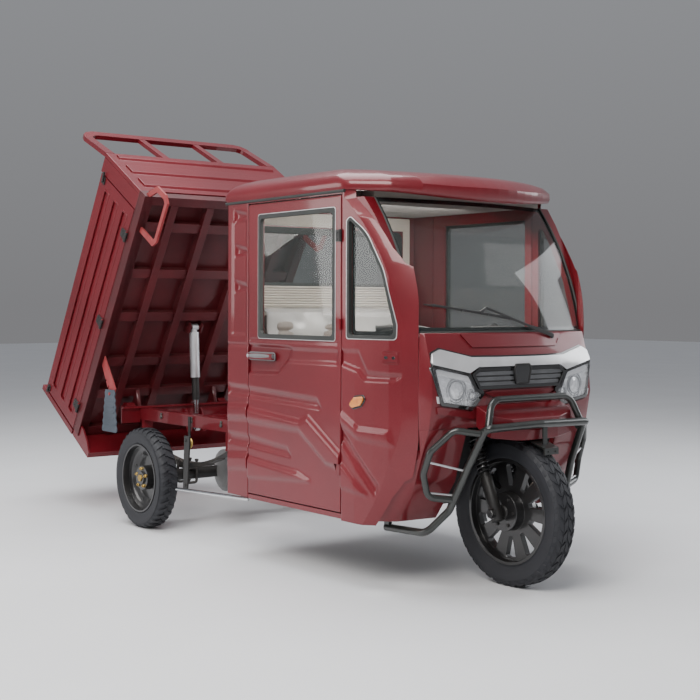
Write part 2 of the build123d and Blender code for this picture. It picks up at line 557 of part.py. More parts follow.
put_bed("bed_floor", box(BED_U0, 1383, -499.5, 499.5, FLOOR_V0, FLOOR_V1))
frame = box(BED_U1 - 48, BED_U1, -500, 500, BEAM_V0, FLOOR_V0 - 0.2)
for name, s in SIDES:
    frame += box(BED_U0, BED_U1, s * 500, s * 548, BEAM_V0, BEAM_V1)
for y in (-365.0, -145.0, 145.0, 365.0):
    frame += box(-90, BED_U1 - 48, y - 15, y + 15, BEAM_V0, FLOOR_V0)
for u in (-70.0, 180.0, 390.0, 680.0, 950.0, 1230.0):
    frame += box(u - 20, u + 20, -500, 500, BEAM_V0 + 12, FLOOR_V0)
hu, hv = HINGE_UV
for s in (-1, 1):
    frame += slab_xz([(hu - 34, BEAM_V0 + 12), (hu - 24, hv - 26), (hu + 24, hv - 26), (hu + 94, BEAM_V0 + 12)], s * 240, s * 262)
    frame -= ring_y(hu, s * 230, s * 270, hv, 12.06)
cu, cv = CYL_UV
for s in (-1, 1):
    frame += slab_xz([(cu - 40, FLOOR_V0), (cu - 24, cv - 26), (cu + 24, cv - 26), (cu + 40, FLOOR_V0)], s * 33, s * 43)
frame += ring_y(cu, -47, 47, cv, 12.5)
put_bed("bed_frame", frame)

put_bed("headboard", box(1385, BED_U1, -BED_HALF, BED_HALF, BEAM_V1 + 0.2, 640))
for name, s in SIDES:
    put_bed("headboard", box(1300, 1384.8, s * 514, s * BED_HALF, BEAM_V1 + 0.2, 640))

RACK_TOP_UV = (1362.0, 979.0)
rack = beam((1397, -524, 640), (RACK_TOP_UV[0], -524, RACK_TOP_UV[1] - 60), 50, 25, up=(1, 0, 0.103)) + beam((1397, 524, 640), (RACK_TOP_UV[0], 524, RACK_TOP_UV[1] - 60), 50, 25, up=(1, 0, 0.103))
rack += box(RACK_TOP_UV[0] - 12.5, RACK_TOP_UV[0] + 12.5, -440, 440, RACK_TOP_UV[1] - 25, RACK_TOP_UV[1] + 25)
for s in (-1, 1):
    corner_pts = [(s * 499, RACK_TOP_UV[1] - 62), (s * 549, RACK_TOP_UV[1] - 62), (s * 540, RACK_TOP_UV[1] - 22), (s * 512, RACK_TOP_UV[1] + 10), (s * 470, RACK_TOP_UV[1] + 25), (s * 438, RACK_TOP_UV[1] + 25), (s * 438, RACK_TOP_UV[1] - 25), (s * 470, RACK_TOP_UV[1] - 28), (s * 492, RACK_TOP_UV[1] - 44)]
    rack += slab_yz(corner_pts, RACK_TOP_UV[0] - 12.5, RACK_TOP_UV[0] + 12.5)
for y in (-178.0, 178.0):
    rack += beam((1397, y, 640), (RACK_TOP_UV[0], y, RACK_TOP_UV[1] - 20), 40, 22, up=(1, 0, 0.103))
put_bed("load_rack", rack - box(1300, 1500, -600, 600, 600, 640))

skirt = box(-136, -104, -545, 545, -26, 192)
for s in (-1, 1):
    skirt += slab_xz([(-104, 192), (-98, 192), (-30, 124.8), (-34, 96), (-64, 26), (-104, -26)], s * 535, s * 545) + box(-104, BED_U0, s * 500, s * 545, 125, 192)
put_bed("tail_skirt", skirt - box(BED_U0, 0, -560, 560, 124.9, 300))
for s in (-1, 1):
    put_bed("tail_lamps", box(-148, -136, s * 360, s * 500, 60, 122))

for name, s in SIDES:
    ring = [(1204, 125), (1204, -30), (1240, -58), (1462, -58), (1492, -20), (1492, 78), (1409, 160), (1409, 125)]
    hole = [(1232, 126), (1232, -18), (1252, -32), (1450, -32), (1464, -12), (1464, 66), (1409, 122), (1409, 126)]
    loop = slab_xz(ring, s * 516, s * 528) - slab_xz([(1232, 125.1), (1232, -18), (1252, -32), (1450, -32), (1464, -12), (1464, 66), (1408, 124), (1408, 125.1)], s * 510, s * 535)
    loop = loop - box(1409, 1300, s * 490, s * 560, 124.9, 200)
    put_bed("bed_brackets", loop)
    flap_plate = slab_xz([(376, 125), (436, 125), (352, -74), (262, -74)], s * 518, s * 524)
    for k in range(4):
        flap_plate -= box(330 - 18 * k, 350 - 12 * k, s * 510, s * 530, 80 - 42 * k, 90 - 42 * k)
    flap_plate += ring_y(306, s * 524, s * 540, -48, 8)
    put_bed("bed_brackets", flap_plate)
    # drop side: framed panel with three long channels pressed into its outer face
    gate = slab_xz([(BED_U0, GATE_V0), (1293, GATE_V0), (1293, 624), (BED_U0, 602)], s * 520, s * BED_HALF)
    for v0, v1 in ((248, 318), (366, 436), (484, 554)):
        gate -= slab_xz([(-40, v0 + 10), (-28, v0), (1226, v0), (1238, v0 + 10), (1238, v1 - 10), (1226, v1), (-28, v1), (-40, v1 - 10)], s * 541, s * 556)
    for u in (46.0, 597.0, 1133.0):
        gate += rod((u - 30, s * 558, 196), (u + 30, s * 558, 196), 6) + box(u - 30, u + 30, s * 549.9, s * 554, 199, 236) + box(u - 30, u + 30, s * 550, s * 558, 196, 202)
    put_bed(f"side_gate_{name}", gate)
    hx, hz = 306.0, -48.0
    top = Vector(BED_O[0] + hx * CB - hz * SB, 0, BED_O[1] + hx * SB + hz * CB)
    flap = slab_xz([(top.X - 50, top.Z + 22), (top.X + 50, top.Z + 22), (top.X + 62, top.Z - 90), (top.X + 78, top.Z - 205), (top.X - 88, top.Z - 205), (top.X - 70, top.Z - 90)], s * 529.5, s * 536)
    put(f"mudflap_{name}", flap - ring_y(top.X, s * 520, s * 545, top.Z, 8.06))

tail = box(-136, -106, -BED_HALF, BED_HALF, GATE_V0, 655)
for v0, v1 in ((250, 330), (380, 460), (510, 590)):
    tail -= box(-140, -128, -480, 480, v0, v1)
for y in (-400.0, 0.0, 400.0):
    tail += rod((-144, y - 30, 196), (-144, y + 30, 196), 6) + box(-144, -136, y - 30, y + 30, 196, 236)
put_bed("tailgate", tail)

# ---------------------------------------------------------------- tipping cylinder, in two stages
px = BED_O[0] + cu * CB - cv * SB
pz = BED_O[1] + cu * SB + cv * CB
PIN, FOOT = Vector(px, 0, pz), Vector(CYL_BASE[0], 0, CYL_BASE[1])
LENGTH = (FOOT - PIN).length
AX = (FOOT - PIN).normalized()
BARREL_END = 284.0
TRAVEL = 129.0               # slide of each stage
STAGE_END = BARREL_END - 30 + 156


def along(s):
    return tuple(PIN + AX * s)


barrel = rod(along(28), along(BARREL_END), 27) - rod(along(46), along(BARREL_END + 1), 21.05)
barrel = barrel + (ring_y(px, -19, 19, pz, 19.5) - ring_y(px, -20, 20, pz, 12.56))
barrel = barrel + (rod(along(14), along(30), 16) - ring_y(px, -20, 20, pz, 12.56))
put("cylinder_barrel", barrel)
put("cylinder_stage", rod(along(BARREL_END - 30), along(STAGE_END), 21) - rod(along(BARREL_END - 40), along(STAGE_END + 1), 15.05))
rod_part = rod(along(STAGE_END - 30), along(LENGTH - 14), 15)
rod_part = rod_part + ring_y(CYL_BASE[0], -14, 14, CYL_BASE[1], 21)
put("cylinder_rod", rod_part - ring_y(CYL_BASE[0], -16, 16, CYL_BASE[1], 12.6))

# ---------------------------------------------------------------- write
for node, solids in NODES.items():
    export_step(solids[0] if len(solids) == 1 else Compound(children=solids), f"parts/{node}.step")
print(len(NODES), "nodes; cylinder length raised", round(LENGTH, 1))
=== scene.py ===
import bpy, bmesh, math, random
import numpy as np
from mathutils import Vector, Matrix


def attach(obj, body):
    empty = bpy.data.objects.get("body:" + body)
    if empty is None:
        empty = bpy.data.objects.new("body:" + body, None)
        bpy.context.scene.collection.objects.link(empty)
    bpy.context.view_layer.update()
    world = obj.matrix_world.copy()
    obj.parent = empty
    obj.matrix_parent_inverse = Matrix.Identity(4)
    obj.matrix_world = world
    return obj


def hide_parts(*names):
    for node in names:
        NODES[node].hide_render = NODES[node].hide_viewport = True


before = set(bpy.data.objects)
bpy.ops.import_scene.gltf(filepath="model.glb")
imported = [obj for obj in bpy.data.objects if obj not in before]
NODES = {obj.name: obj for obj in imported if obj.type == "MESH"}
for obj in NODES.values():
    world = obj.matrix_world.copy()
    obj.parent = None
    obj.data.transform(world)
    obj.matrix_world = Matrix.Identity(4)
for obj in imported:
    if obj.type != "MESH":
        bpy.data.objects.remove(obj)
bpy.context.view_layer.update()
random.seed(7)

# ------------------------------------------------------------------ frame
XF = 1514.75                      # front axle in the row frame, mm
BED_A = math.radians(59.0)
CB, SB = math.cos(BED_A), math.sin(BED_A)
RAKE = math.radians(23.0)


def P(x, y, z):
    """Axle frame in mm to metres in the row frame."""
    return Vector(((x + XF) / 1000.0, y / 1000.0, z / 1000.0))


def BD(u, y, v):
    """The bed's own u, y, v in mm to the row frame."""
    return P(-2700.0 + u * CB - v * SB, y, 420.0 + u * SB + v * CB)


def on_steer(s, y=0.0):
    return (-s * math.sin(RAKE), y, 302.0 + s * math.cos(RAKE))


# ------------------------------------------------------------------ materials
def node(nt, kind, **kw):
    n = nt.nodes.new(kind)
    for k, v in kw.items():
        if k.startswith("i_"):
            n.inputs[k[2:].replace("_", " ")].default_value = v
        else:
            setattr(n, k, v)
    return n


def finish_of(name, base, base2=None, rough=0.5, rough2=None, metal=0.0, coat=0.0, coat_rough=0.05, mottle=4.0, grain=300.0,
              bump=0.15, dist=0.0006, stretch=(1, 1, 1), dust=0.0, dust_col=(0.42, 0.36, 0.30), flake=0.0, scratch=0.0, spec=0.5,
              cells=False, sheen=0.0, peel=0.0):
    """Node material: mottled colour, roughness that varies with it, fine grain, dust on upward faces, scratches."""
    m = bpy.data.materials.new(name)
    m.use_nodes = True
    nt = m.node_tree
    L = nt.links.new
    b = nt.nodes["Principled BSDF"]
    b.inputs["Metallic"].default_value = metal
    b.inputs["Coat Weight"].default_value = coat
    b.inputs["Coat Roughness"].default_value = coat_rough
    b.inputs["Specular IOR Level"].default_value = spec
    b.inputs["Sheen Weight"].default_value = sheen
    base2 = base2 or tuple(min(1, c * 1.35 + 0.004) for c in base)
    rough2 = rough2 if rough2 is not None else min(1, rough + 0.12)
    tc = node(nt, "ShaderNodeTexCoord")
    mp = node(nt, "ShaderNodeMapping")
    mp.inputs["Scale"].default_value = stretch
    L(tc.outputs["Object"], mp.inputs["Vector"])
    n1 = node(nt, "ShaderNodeTexNoise", i_Scale=mottle, i_Detail=5.0, i_Roughness=0.6)
    L(mp.outputs[0], n1.inputs["Vector"])
    mix = node(nt, "ShaderNodeMix", data_type="RGBA")
    mix.inputs[6].default_value = (*base, 1)
    mix.inputs[7].default_value = (*base2, 1)
    r1 = node(nt, "ShaderNodeMapRange")
    r1.inputs["From Min"].default_value = 0.36
    r1.inputs["From Max"].default_value = 0.68
    L(n1.outputs["Fac"], r1.inputs["Value"])
    L(r1.outputs[0], mix.inputs[0])
    col = mix.outputs[2]
    rr = node(nt, "ShaderNodeMapRange")
    rr.inputs["To Min"].default_value = rough
    rr.inputs["To Max"].default_value = rough2
    L(n1.outputs["Fac"], rr.inputs["Value"])
    rsock = rr.outputs[0]
    if flake:
        vo = node(nt, "ShaderNodeTexVoronoi", i_Scale=1800.0)
        L(tc.outputs["Object"], vo.inputs["Vector"])
        fm = node(nt, "ShaderNodeMix", data_type="RGBA", blend_type="SCREEN")
        fr = node(nt, "ShaderNodeMapRange")
        fr.inputs["From Min"].default_value = 0.86
        fr.inputs["To Max"].default_value = flake
        sep = node(nt, "ShaderNodeSeparateColor")
        L(vo.outputs["Color"], sep.inputs[0])
        L(sep.outputs[0], fr.inputs["Value"])
        L(fr.outputs[0], fm.inputs[0])
        L(col, fm.inputs[6])
        fm.inputs[7].default_value = (0.9, 0.35, 0.33, 1)
        col = fm.outputs[2]
    if scratch:
        n3 = node(nt, "ShaderNodeTexNoise", i_Scale=9.0, i_Detail=8.0, i_Roughness=0.75)
        mp3 = node(nt, "ShaderNodeMapping")
        mp3.inputs["Scale"].default_value = (1.0, 6.0, 14.0)
        L(tc.outputs["Object"], mp3.inputs["Vector"])
        L(mp3.outputs[0], n3.inputs["Vector"])
        sr = node(nt, "ShaderNodeMapRange")
        sr.inputs["From Min"].default_value = 0.60
        sr.inputs["From Max"].default_value = 0.66
        sr.inputs["To Max"].default_value = scratch
        L(n3.outputs["Fac"], sr.inputs["Value"])
        sm = node(nt, "ShaderNodeMix", data_type="RGBA")
        L(sr.outputs[0], sm.inputs[0])
        L(col, sm.inputs[6])
        sm.inputs[7].default_value = (*[min(1, c * 2.2 + 0.05) for c in base], 1)
        col = sm.outputs[2]
    if dust:
        ge = node(nt, "ShaderNodeNewGeometry")
        sx = node(nt, "ShaderNodeSeparateXYZ")
        L(ge.outputs["Normal"], sx.inputs[0])
        n4 = node(nt, "ShaderNodeTexNoise", i_Scale=11.0, i_Detail=6.0, i_Roughness=0.7)
        L(tc.outputs["Object"], n4.inputs["Vector"])
        up = node(nt, "ShaderNodeMapRange")
        up.inputs["From Min"].default_value = -0.4
        up.inputs["To Min"].default_value = 0.15
        L(sx.outputs["Z"], up.inputs["Value"])
        mu = node(nt, "ShaderNodeMath", operation="MULTIPLY")
        L(up.outputs[0], mu.inputs[0])
        L(n4.outputs["Fac"], mu.inputs[1])
        m2 = node(nt, "ShaderNodeMath", operation="MULTIPLY")
        L(mu.outputs[0], m2.inputs[0])
        m2.inputs[1].default_value = dust
        dm = node(nt, "ShaderNodeMix", data_type="RGBA")
        L(m2.outputs[0], dm.inputs[0])
        L(col, dm.inputs[6])
        dm.inputs[7].default_value = (*dust_col, 1)
        col = dm.outputs[2]
        ra = node(nt, "ShaderNodeMath", operation="ADD", use_clamp=True)
        L(rsock, ra.inputs[0])
        m3 = node(nt, "ShaderNodeMath", operation="MULTIPLY")
        L(m2.outputs[0], m3.inputs[0])
        m3.inputs[1].default_value = 0.5
        L(m3.outputs[0], ra.inputs[1])
        rsock = ra.outputs[0]
    L(col, b.inputs["Base Color"])
    L(rsock, b.inputs["Roughness"])
    if cells:
        n2 = node(nt, "ShaderNodeTexVoronoi", i_Scale=grain)
        h = n2.outputs["Distance"]
    else:
        n2 = node(nt, "ShaderNodeTexNoise", i_Scale=grain, i_Detail=3.0)
        h = n2.outputs["Fac"]
    L(mp.outputs[0], n2.inputs["Vector"])
    bp = node(nt, "ShaderNodeBump")
    bp.inputs["Strength"].default_value = bump
    bp.inputs["Distance"].default_value = dist
    L(h, bp.inputs["Height"])
    if peel:
        n5 = node(nt, "ShaderNodeTexNoise", i_Scale=22.0, i_Detail=2.0)
        L(tc.outputs["Object"], n5.inputs["Vector"])
        b2 = node(nt, "ShaderNodeBump")
        b2.inputs["Strength"].default_value = peel
        b2.inputs["Distance"].default_value = 0.0012
        L(n5.outputs["Fac"], b2.inputs["Height"])
        L(b2.outputs[0], bp.inputs["Normal"])
    L(bp.outputs[0], b.inputs["Normal"])
    return m


def glass_of(name, tint, base_alpha, rough=0.02, spec=0.6, haze=0.04, edge=0.55):
    """Thin window glass: clear where it is looked through square, more reflective at a flat angle, a little hazy."""
    m = bpy.data.materials.new(name)
    m.use_nodes = True
    nt = m.node_tree
    L = nt.links.new
    b = nt.nodes["Principled BSDF"]
    b.inputs["Metallic"].default_value = 0.0
    b.inputs["Specular IOR Level"].default_value = spec
    b.inputs["Coat Weight"].default_value = 1.0
    b.inputs["Coat Roughness"].default_value = 0.02
    tc = node(nt, "ShaderNodeTexCoord")
    n1 = node(nt, "ShaderNodeTexNoise", i_Scale=3.0, i_Detail=6.0)
    L(tc.outputs["Object"], n1.inputs["Vector"])
    mix = node(nt, "ShaderNodeMix", data_type="RGBA")
    mix.inputs[6].default_value = (*tint, 1)
    mix.inputs[7].default_value = (*[min(1, c * 1.5 + 0.02) for c in tint], 1)
    L(n1.outputs["Fac"], mix.inputs[0])
    L(mix.outputs[2], b.inputs["Base Color"])
    rr = node(nt, "ShaderNodeMapRange")
    rr.inputs["To Min"].default_value = rough
    rr.inputs["To Max"].default_value = rough + 0.05
    L(n1.outputs["Fac"], rr.inputs["Value"])
    L(rr.outputs[0], b.inputs["Roughness"])
    lw = node(nt, "ShaderNodeLayerWeight")
    lw.inputs["Blend"].default_value = 0.5
    ar = node(nt, "ShaderNodeMapRange", clamp=True)
    ar.inputs["To Min"].default_value = base_alpha
    ar.inputs["To Max"].default_value = min(1.0, base_alpha + edge)
    L(lw.outputs["Fresnel"], ar.inputs["Value"])
    hz = node(nt, "ShaderNodeMath", operation="MULTIPLY_ADD")
    hz.inputs[1].default_value = haze
    L(n1.outputs["Fac"], hz.inputs[0])
    L(ar.outputs[0], hz.inputs[2])
    L(hz.outputs[0], b.inputs["Alpha"])
    return m


M = {
    "red_paint": finish_of("red_paint", (0.115, 0.0016, 0.0065), (0.150, 0.0026, 0.0090), rough=0.34, rough2=0.42, metal=0.12, coat=0.5, coat_rough=0.06, mottle=1.6, grain=900, bump=0.04, dist=0.0003, flake=0.16, dust=0.0, peel=0.05, spec=0.35),
    "dark_red_frame": finish_of("dark_red_frame", (0.060, 0.003, 0.006), (0.095, 0.006, 0.010), rough=0.38, metal=0.10, coat=0.4, coat_rough=0.25, mottle=3.5, grain=420, bump=0.12, dist=0.0006, dust=0.05, scratch=0.06, spec=0.35),
    "bracket_red": finish_of("bracket_red", (0.26, 0.020, 0.024), (0.34, 0.045, 0.046), rough=0.42, metal=0.1, coat=0.3, coat_rough=0.2, mottle=14, grain=420, bump=0.14, dist=0.0006, dust=0.12, scratch=0.2),
    "tyre_rubber": finish_of("tyre_rubber", (0.008, 0.009, 0.013), (0.017, 0.018, 0.023), rough=0.52, rough2=0.70, mottle=7, grain=520, bump=0.30, dist=0.0008, dust=0.06, dust_col=(0.23, 0.21, 0.19)),
    "mudflap_rubber": finish_of("mudflap_rubber", (0.035, 0.048, 0.066), (0.060, 0.075, 0.098), rough=0.55, rough2=0.75, mottle=9, grain=260, bump=0.3, dist=0.0008, dust=0.16, dust_col=(0.30, 0.29, 0.28)),
    "black_alloy": finish_of("black_alloy", (0.007, 0.007, 0.008), (0.014, 0.014, 0.015), rough=0.28, rough2=0.40, metal=0.2, coat=0.6, coat_rough=0.10, mottle=9, grain=600, bump=0.12, dist=0.0004, dust=0.04),
    "silver_steel": finish_of("silver_steel", (0.50, 0.51, 0.53), (0.66, 0.67, 0.69), rough=0.30, rough2=0.46, metal=0.85, mottle=8, grain=500, bump=0.1, dist=0.0004, dust=0.20, scratch=0.1),
    "black_steel": finish_of("black_steel", (0.008, 0.008, 0.009), (0.018, 0.018, 0.018), rough=0.36, rough2=0.50, metal=0.2, mottle=8, grain=420, bump=0.2, dist=0.0006, dust=0.08, scratch=0.05),
    "black_tube": finish_of("black_tube", (0.012, 0.014, 0.013), (0.022, 0.025, 0.023), rough=0.26, rough2=0.36, metal=0.15, coat=0.5, coat_rough=0.12, mottle=6, grain=520, bump=0.08, dist=0.0005, dust=0.03),
    "spring_steel": finish_of("spring_steel", (0.05, 0.052, 0.055), (0.10, 0.095, 0.09), rough=0.42, rough2=0.6, metal=0.7, mottle=16, grain=260, bump=0.3, dist=0.0006, dust=0.35, stretch=(1, 1, 3)),
    "cast_alloy": finish_of("cast_alloy", (0.24, 0.245, 0.25), (0.34, 0.34, 0.34), rough=0.48, rough2=0.62, metal=0.8, mottle=10, grain=380, bump=0.45, dist=0.0008, dust=0.25),
    "bright_rod": finish_of("bright_rod", (0.64, 0.65, 0.67), (0.76, 0.77, 0.78), rough=0.12, rough2=0.2, metal=1.0, mottle=20, grain=900, bump=0.05, dist=0.0002, stretch=(1, 1, 0.1)),
    "floor_steel": finish_of("floor_steel", (0.025, 0.025, 0.027), (0.05, 0.048, 0.046), rough=0.5, rough2=0.68, metal=0.5, mottle=5, grain=60, bump=0.35, dist=0.0012, cells=True, dust=0.35),
    "black_plastic": finish_of("black_plastic", (0.016, 0.016, 0.017), (0.027, 0.027, 0.028), rough=0.46, rough2=0.58, mottle=5, grain=700, bump=0.28, dist=0.0005, cells=True, dust=0.05),
    "grey_plastic": finish_of("grey_plastic", (0.10, 0.102, 0.108), (0.15, 0.152, 0.158), rough=0.42, rough2=0.55, mottle=5, grain=650, bump=0.25, dist=0.0005, cells=True, dust=0.15),
    "rubber_seal": finish_of("rubber_seal", (0.016, 0.019, 0.018), (0.028, 0.032, 0.030), rough=0.5, rough2=0.66, mottle=8, grain=420, bump=0.2, dist=0.0005, dust=0.04),
    "gloss_black": finish_of("gloss_black", (0.006, 0.006, 0.007), (0.012, 0.012, 0.013), rough=0.08, rough2=0.16, coat=1.0, coat_rough=0.03, mottle=4, grain=500, bump=0.03, dist=0.0002, dust=0.04),
    "silver_trim": finish_of("silver_trim", (0.62, 0.62, 0.63), (0.76, 0.76, 0.77), rough=0.24, rough2=0.34, metal=0.55, coat=0.5, mottle=7, grain=500, bump=0.05, dist=0.0003, dust=0.08),
    "grille_bar": finish_of("grille_bar", (0.10, 0.105, 0.11), (0.16, 0.165, 0.175), rough=0.28, rough2=0.4, metal=0.6, coat=0.3, mottle=7, grain=500, bump=0.08, dist=0.0003, dust=0.12),
    "liner": finish_of("liner", (0.66, 0.61, 0.53), (0.76, 0.71, 0.63), rough=0.82, rough2=0.92, mottle=6, grain=240, bump=0.4, dist=0.0012, sheen=0.3),
    "headliner": finish_of("headliner", (0.16, 0.14, 0.12), (0.22, 0.195, 0.17), rough=0.85, rough2=0.95, mottle=6, grain=240, bump=0.4, dist=0.0012, sheen=0.3),
    "battery": finish_of("battery", (0.02, 0.024, 0.03), (0.035, 0.04, 0.05), rough=0.5, mottle=8, grain=300, bump=0.2, dust=0.3),
    "seat_vinyl": finish_of("seat_vinyl", (0.20, 0.165, 0.14), (0.27, 0.23, 0.20), rough=0.42, rough2=0.55, mottle=5, grain=430, bump=0.35, dist=0.0008, cells=True, coat=0.15, coat_rough=0.3, dust=0.06),
    "cylinder_silver": finish_of("cylinder_silver", (0.55, 0.56, 0.58), (0.72, 0.73, 0.75), rough=0.22, rough2=0.42, metal=0.7, coat=0.6, coat_rough=0.15, mottle=26, grain=90, bump=0.5, dist=0.0016, stretch=(1, 1, 0.35)),
    "stud_zinc": finish_of("stud_zinc", (0.52, 0.50, 0.44), (0.68, 0.66, 0.60), rough=0.25, rough2=0.4, metal=1.0, mottle=60, grain=900, bump=0.15, dist=0.0003),
    "brass_horn": finish_of("brass_horn", (0.42, 0.27, 0.07), (0.56, 0.40, 0.13), rough=0.3, rough2=0.45, metal=0.9, mottle=30, grain=500, bump=0.2, dist=0.0004, dust=0.1),
    "amber_lens": finish_of("amber_lens", (0.55, 0.16, 0.02), (0.75, 0.27, 0.04), rough=0.12, rough2=0.2, coat=1.0, coat_rough=0.03, mottle=30, grain=260, bump=0.5, dist=0.0015, cells=True),
    "tail_lens": finish_of("tail_lens", (0.40, 0.010, 0.012), (0.55, 0.02, 0.02), rough=0.12, rough2=0.2, coat=1.0, coat_rough=0.03, mottle=30, grain=200, bump=0.6, dist=0.002, cells=True),
    "reflector": finish_of("reflector", (0.80, 0.81, 0.83), (0.94, 0.94, 0.95), rough=0.14, rough2=0.30, metal=0.7, mottle=22, grain=55, bump=0.55, dist=0.004, cells=True),
    "screen": finish_of("screen", (0.008, 0.010, 0.013), (0.015, 0.018, 0.022), rough=0.1, rough2=0.18, coat=1.0, coat_rough=0.04, mottle=4, grain=500, bump=0.02, dist=0.0002),
    "copper_cable": finish_of("copper_cable", (0.02, 0.02, 0.022), (0.04, 0.035, 0.03), rough=0.5, mottle=30, grain=400, bump=0.3),
    "glass": glass_of("glass", (0.030, 0.040, 0.038), 0.03, haze=0.02, edge=0.35),
    "lamp_lens": glass_of("lamp_lens", (0.55, 0.57, 0.60), 0.02, rough=0.03, haze=0.01, edge=0.22),
    "film": glass_of("film", (0.86, 0.85, 0.81), 0.30, rough=0.14, haze=0.30),
}


# ------------------------------------------------------------------ mesh helpers
class Mesh:
    """Collects closed shapes given in mm through a mapping function, and makes one object of them."""

    def __init__(self, T=P):
        self.T, self.v, self.f = T, [], []

    def add(self, verts, faces, T=None):
        T = T or self.T
        k = len(self.v)
        self.v += [T(*p) for p in verts]
        self.f += [tuple(i + k for i in f) for f in faces]
        return self

    def box(self, x0, x1, y0, y1, z0, z1, T=None):
        v = [(x, y, z) for x in (x0, x1) for y in (y0, y1) for z in (z0, z1)]
        return self.add(v, [(0, 1, 3, 2), (4, 6, 7, 5), (0, 4, 5, 1), (2, 3, 7, 6), (0, 2, 6, 4), (1, 5, 7, 3)], T)

    def prism(self, pts, lo, hi, plane="xz", T=None):
        def q(p, w):
            return {"xz": (p[0], w, p[1]), "yz": (w, p[0], p[1]), "xy": (p[0], p[1], w)}[plane]
        n = len(pts)
        v = [q(p, lo) for p in pts] + [q(p, hi) for p in pts]
        f = [tuple(range(n)), tuple(reversed(range(n, 2 * n)))] + [(i, (i + 1) % n, n + (i + 1) % n, n + i) for i in range(n)]
        return self.add(v, f, T)

    def ring_prism(self, outer, inner, lo, hi, plane="xz", T=None):
        def q(p, w):
            return {"xz": (p[0], w, p[1]), "yz": (w, p[0], p[1]), "xy": (p[0], p[1], w)}[plane]
        n = len(outer)
        v = [q(p, lo) for p in outer] + [q(p, lo) for p in inner] + [q(p, hi) for p in outer] + [q(p, hi) for p in inner]
        f = []
        for i in range(n):
            j = (i + 1) % n
            f += [(i, j, n + j, n + i), (2 * n + i, 3 * n + i, 3 * n + j, 2 * n + j), (i, 2 * n + i, 2 * n + j, j), (n + i, n + j, 3 * n + j, 3 * n + i)]
        return self.add(v, f, T)

    def tube(self, pts, r, n=14, closed=False, T=None, flat=None):
        """Round bar along close points; flat=(w, h, up) makes it a flat bar."""
        p = [Vector(a) for a in pts]
        k = len(p)
        rings = []
        up = Vector(flat[2]) if flat else None
        prev = None
        for i in range(k):
            a = p[i - 1] if (i or closed) else p[i]
            b = p[(i + 1) % k] if (i < k - 1 or closed) else p[i]
            d = (b - a).normalized()
            if up is not None:
                s = d.cross(up).normalized()
                t = s.cross(d)
            else:
                if prev is None:
                    prev = Vector((0, 0, 1)) if abs(d.z) < 0.9 else Vector((1, 0, 0))
                s = d.cross(prev).normalized()
                t = s.cross(d).normalized()
                prev = t
            if flat:
                w, h = flat[0] / 2, flat[1] / 2
                rings.append([p[i] + s * a2 + t * b2 for a2, b2 in ((-w, -h), (w, -h), (w, h), (-w, h))])
            else:
                rr = r[i] if isinstance(r, (list, tuple)) else r
                rings.append([p[i] + (s * math.cos(2 * math.pi * j / n) + t * math.sin(2 * math.pi * j / n)) * rr for j in range(n)])
        m = len(rings[0])
        v = [tuple(q) for ring in rings for q in ring]
        f = []
        for i in range(k if closed else k - 1):
            i2 = (i + 1) % k
            for j in range(m):
                j2 = (j + 1) % m
                f.append((i * m + j, i * m + j2, i2 * m + j2, i2 * m + j))
        if not closed:
            f += [tuple(reversed(range(m))), tuple((k - 1) * m + j for j in range(m))]
        return self.add(v, f, T)

    def cyl(self, a, b, r, n=28, r2=None, T=None):
        return self.tube([a, b], [r, r if r2 is None else r2], n, T=T)

    def lathe(self, profile, o, axis, n=64, T=None, closed=True, dent=None):
        """(radius, along) profile turned about an axis through o."""
        ax = Vector(axis).normalized()
        s = ax.cross(Vector((0, 0, 1)) if abs(ax.z) < 0.9 else Vector((1, 0, 0))).normalized()
        t = ax.cross(s)
        o = Vector(o)
        m = len(profile)
        v, f = [], []
        for i in range(n):
            a = 2 * math.pi * i / n
            for r, w in profile:
                v.append(tuple(o + ax * w + (s * math.cos(a) + t * math.sin(a)) * r))
        for i in range(n):
            i2 = (i + 1) % n
            for j in range(m if closed else m - 1):
                j2 = (j + 1) % m
                f.append((i * m + j, i * m + j2, i2 * m + j2, i2 * m + j))
        return self.add(v, f, T)

    def dome(self, o, axis, r, h, n=28, k=7, back=4.0, T=None):
        """Round cap that stands h above o."""
        ax = Vector(axis).normalized()
        prof = [(0.001, -back), (r, -back)] + [(r * math.cos(math.pi / 2 * i / k), h * math.sin(math.pi / 2 * i / k)) for i in range(k)] + [(0.001, h)]
        return self.lathe(prof, o, ax, n, T=T, closed=True)

    def nut(self, o, axis, r, h, T=None, turn=0.0):
        ax = Vector(axis).normalized()
        s = ax.cross(Vector((0, 0, 1)) if abs(ax.z) < 0.9 else Vector((1, 0, 0))).normalized()
        t = ax.cross(s)
        o = Vector(o)
        v = [tuple(o + ax * w + (s * math.cos(turn + math.pi / 3 * i) + t * math.sin(turn + math.pi / 3 * i)) * q) for w, q in ((0, r), (h * 0.8, r), (h, r * 0.86)) for i in range(6)]
        f = [tuple(reversed(range(6))), tuple(range(12, 18))] + [(k * 6 + i, k * 6 + (i + 1) % 6, (k + 1) * 6 + (i + 1) % 6, (k + 1) * 6 + i) for k in (0, 1) for i in range(6)]
        return self.add(v, f, T)


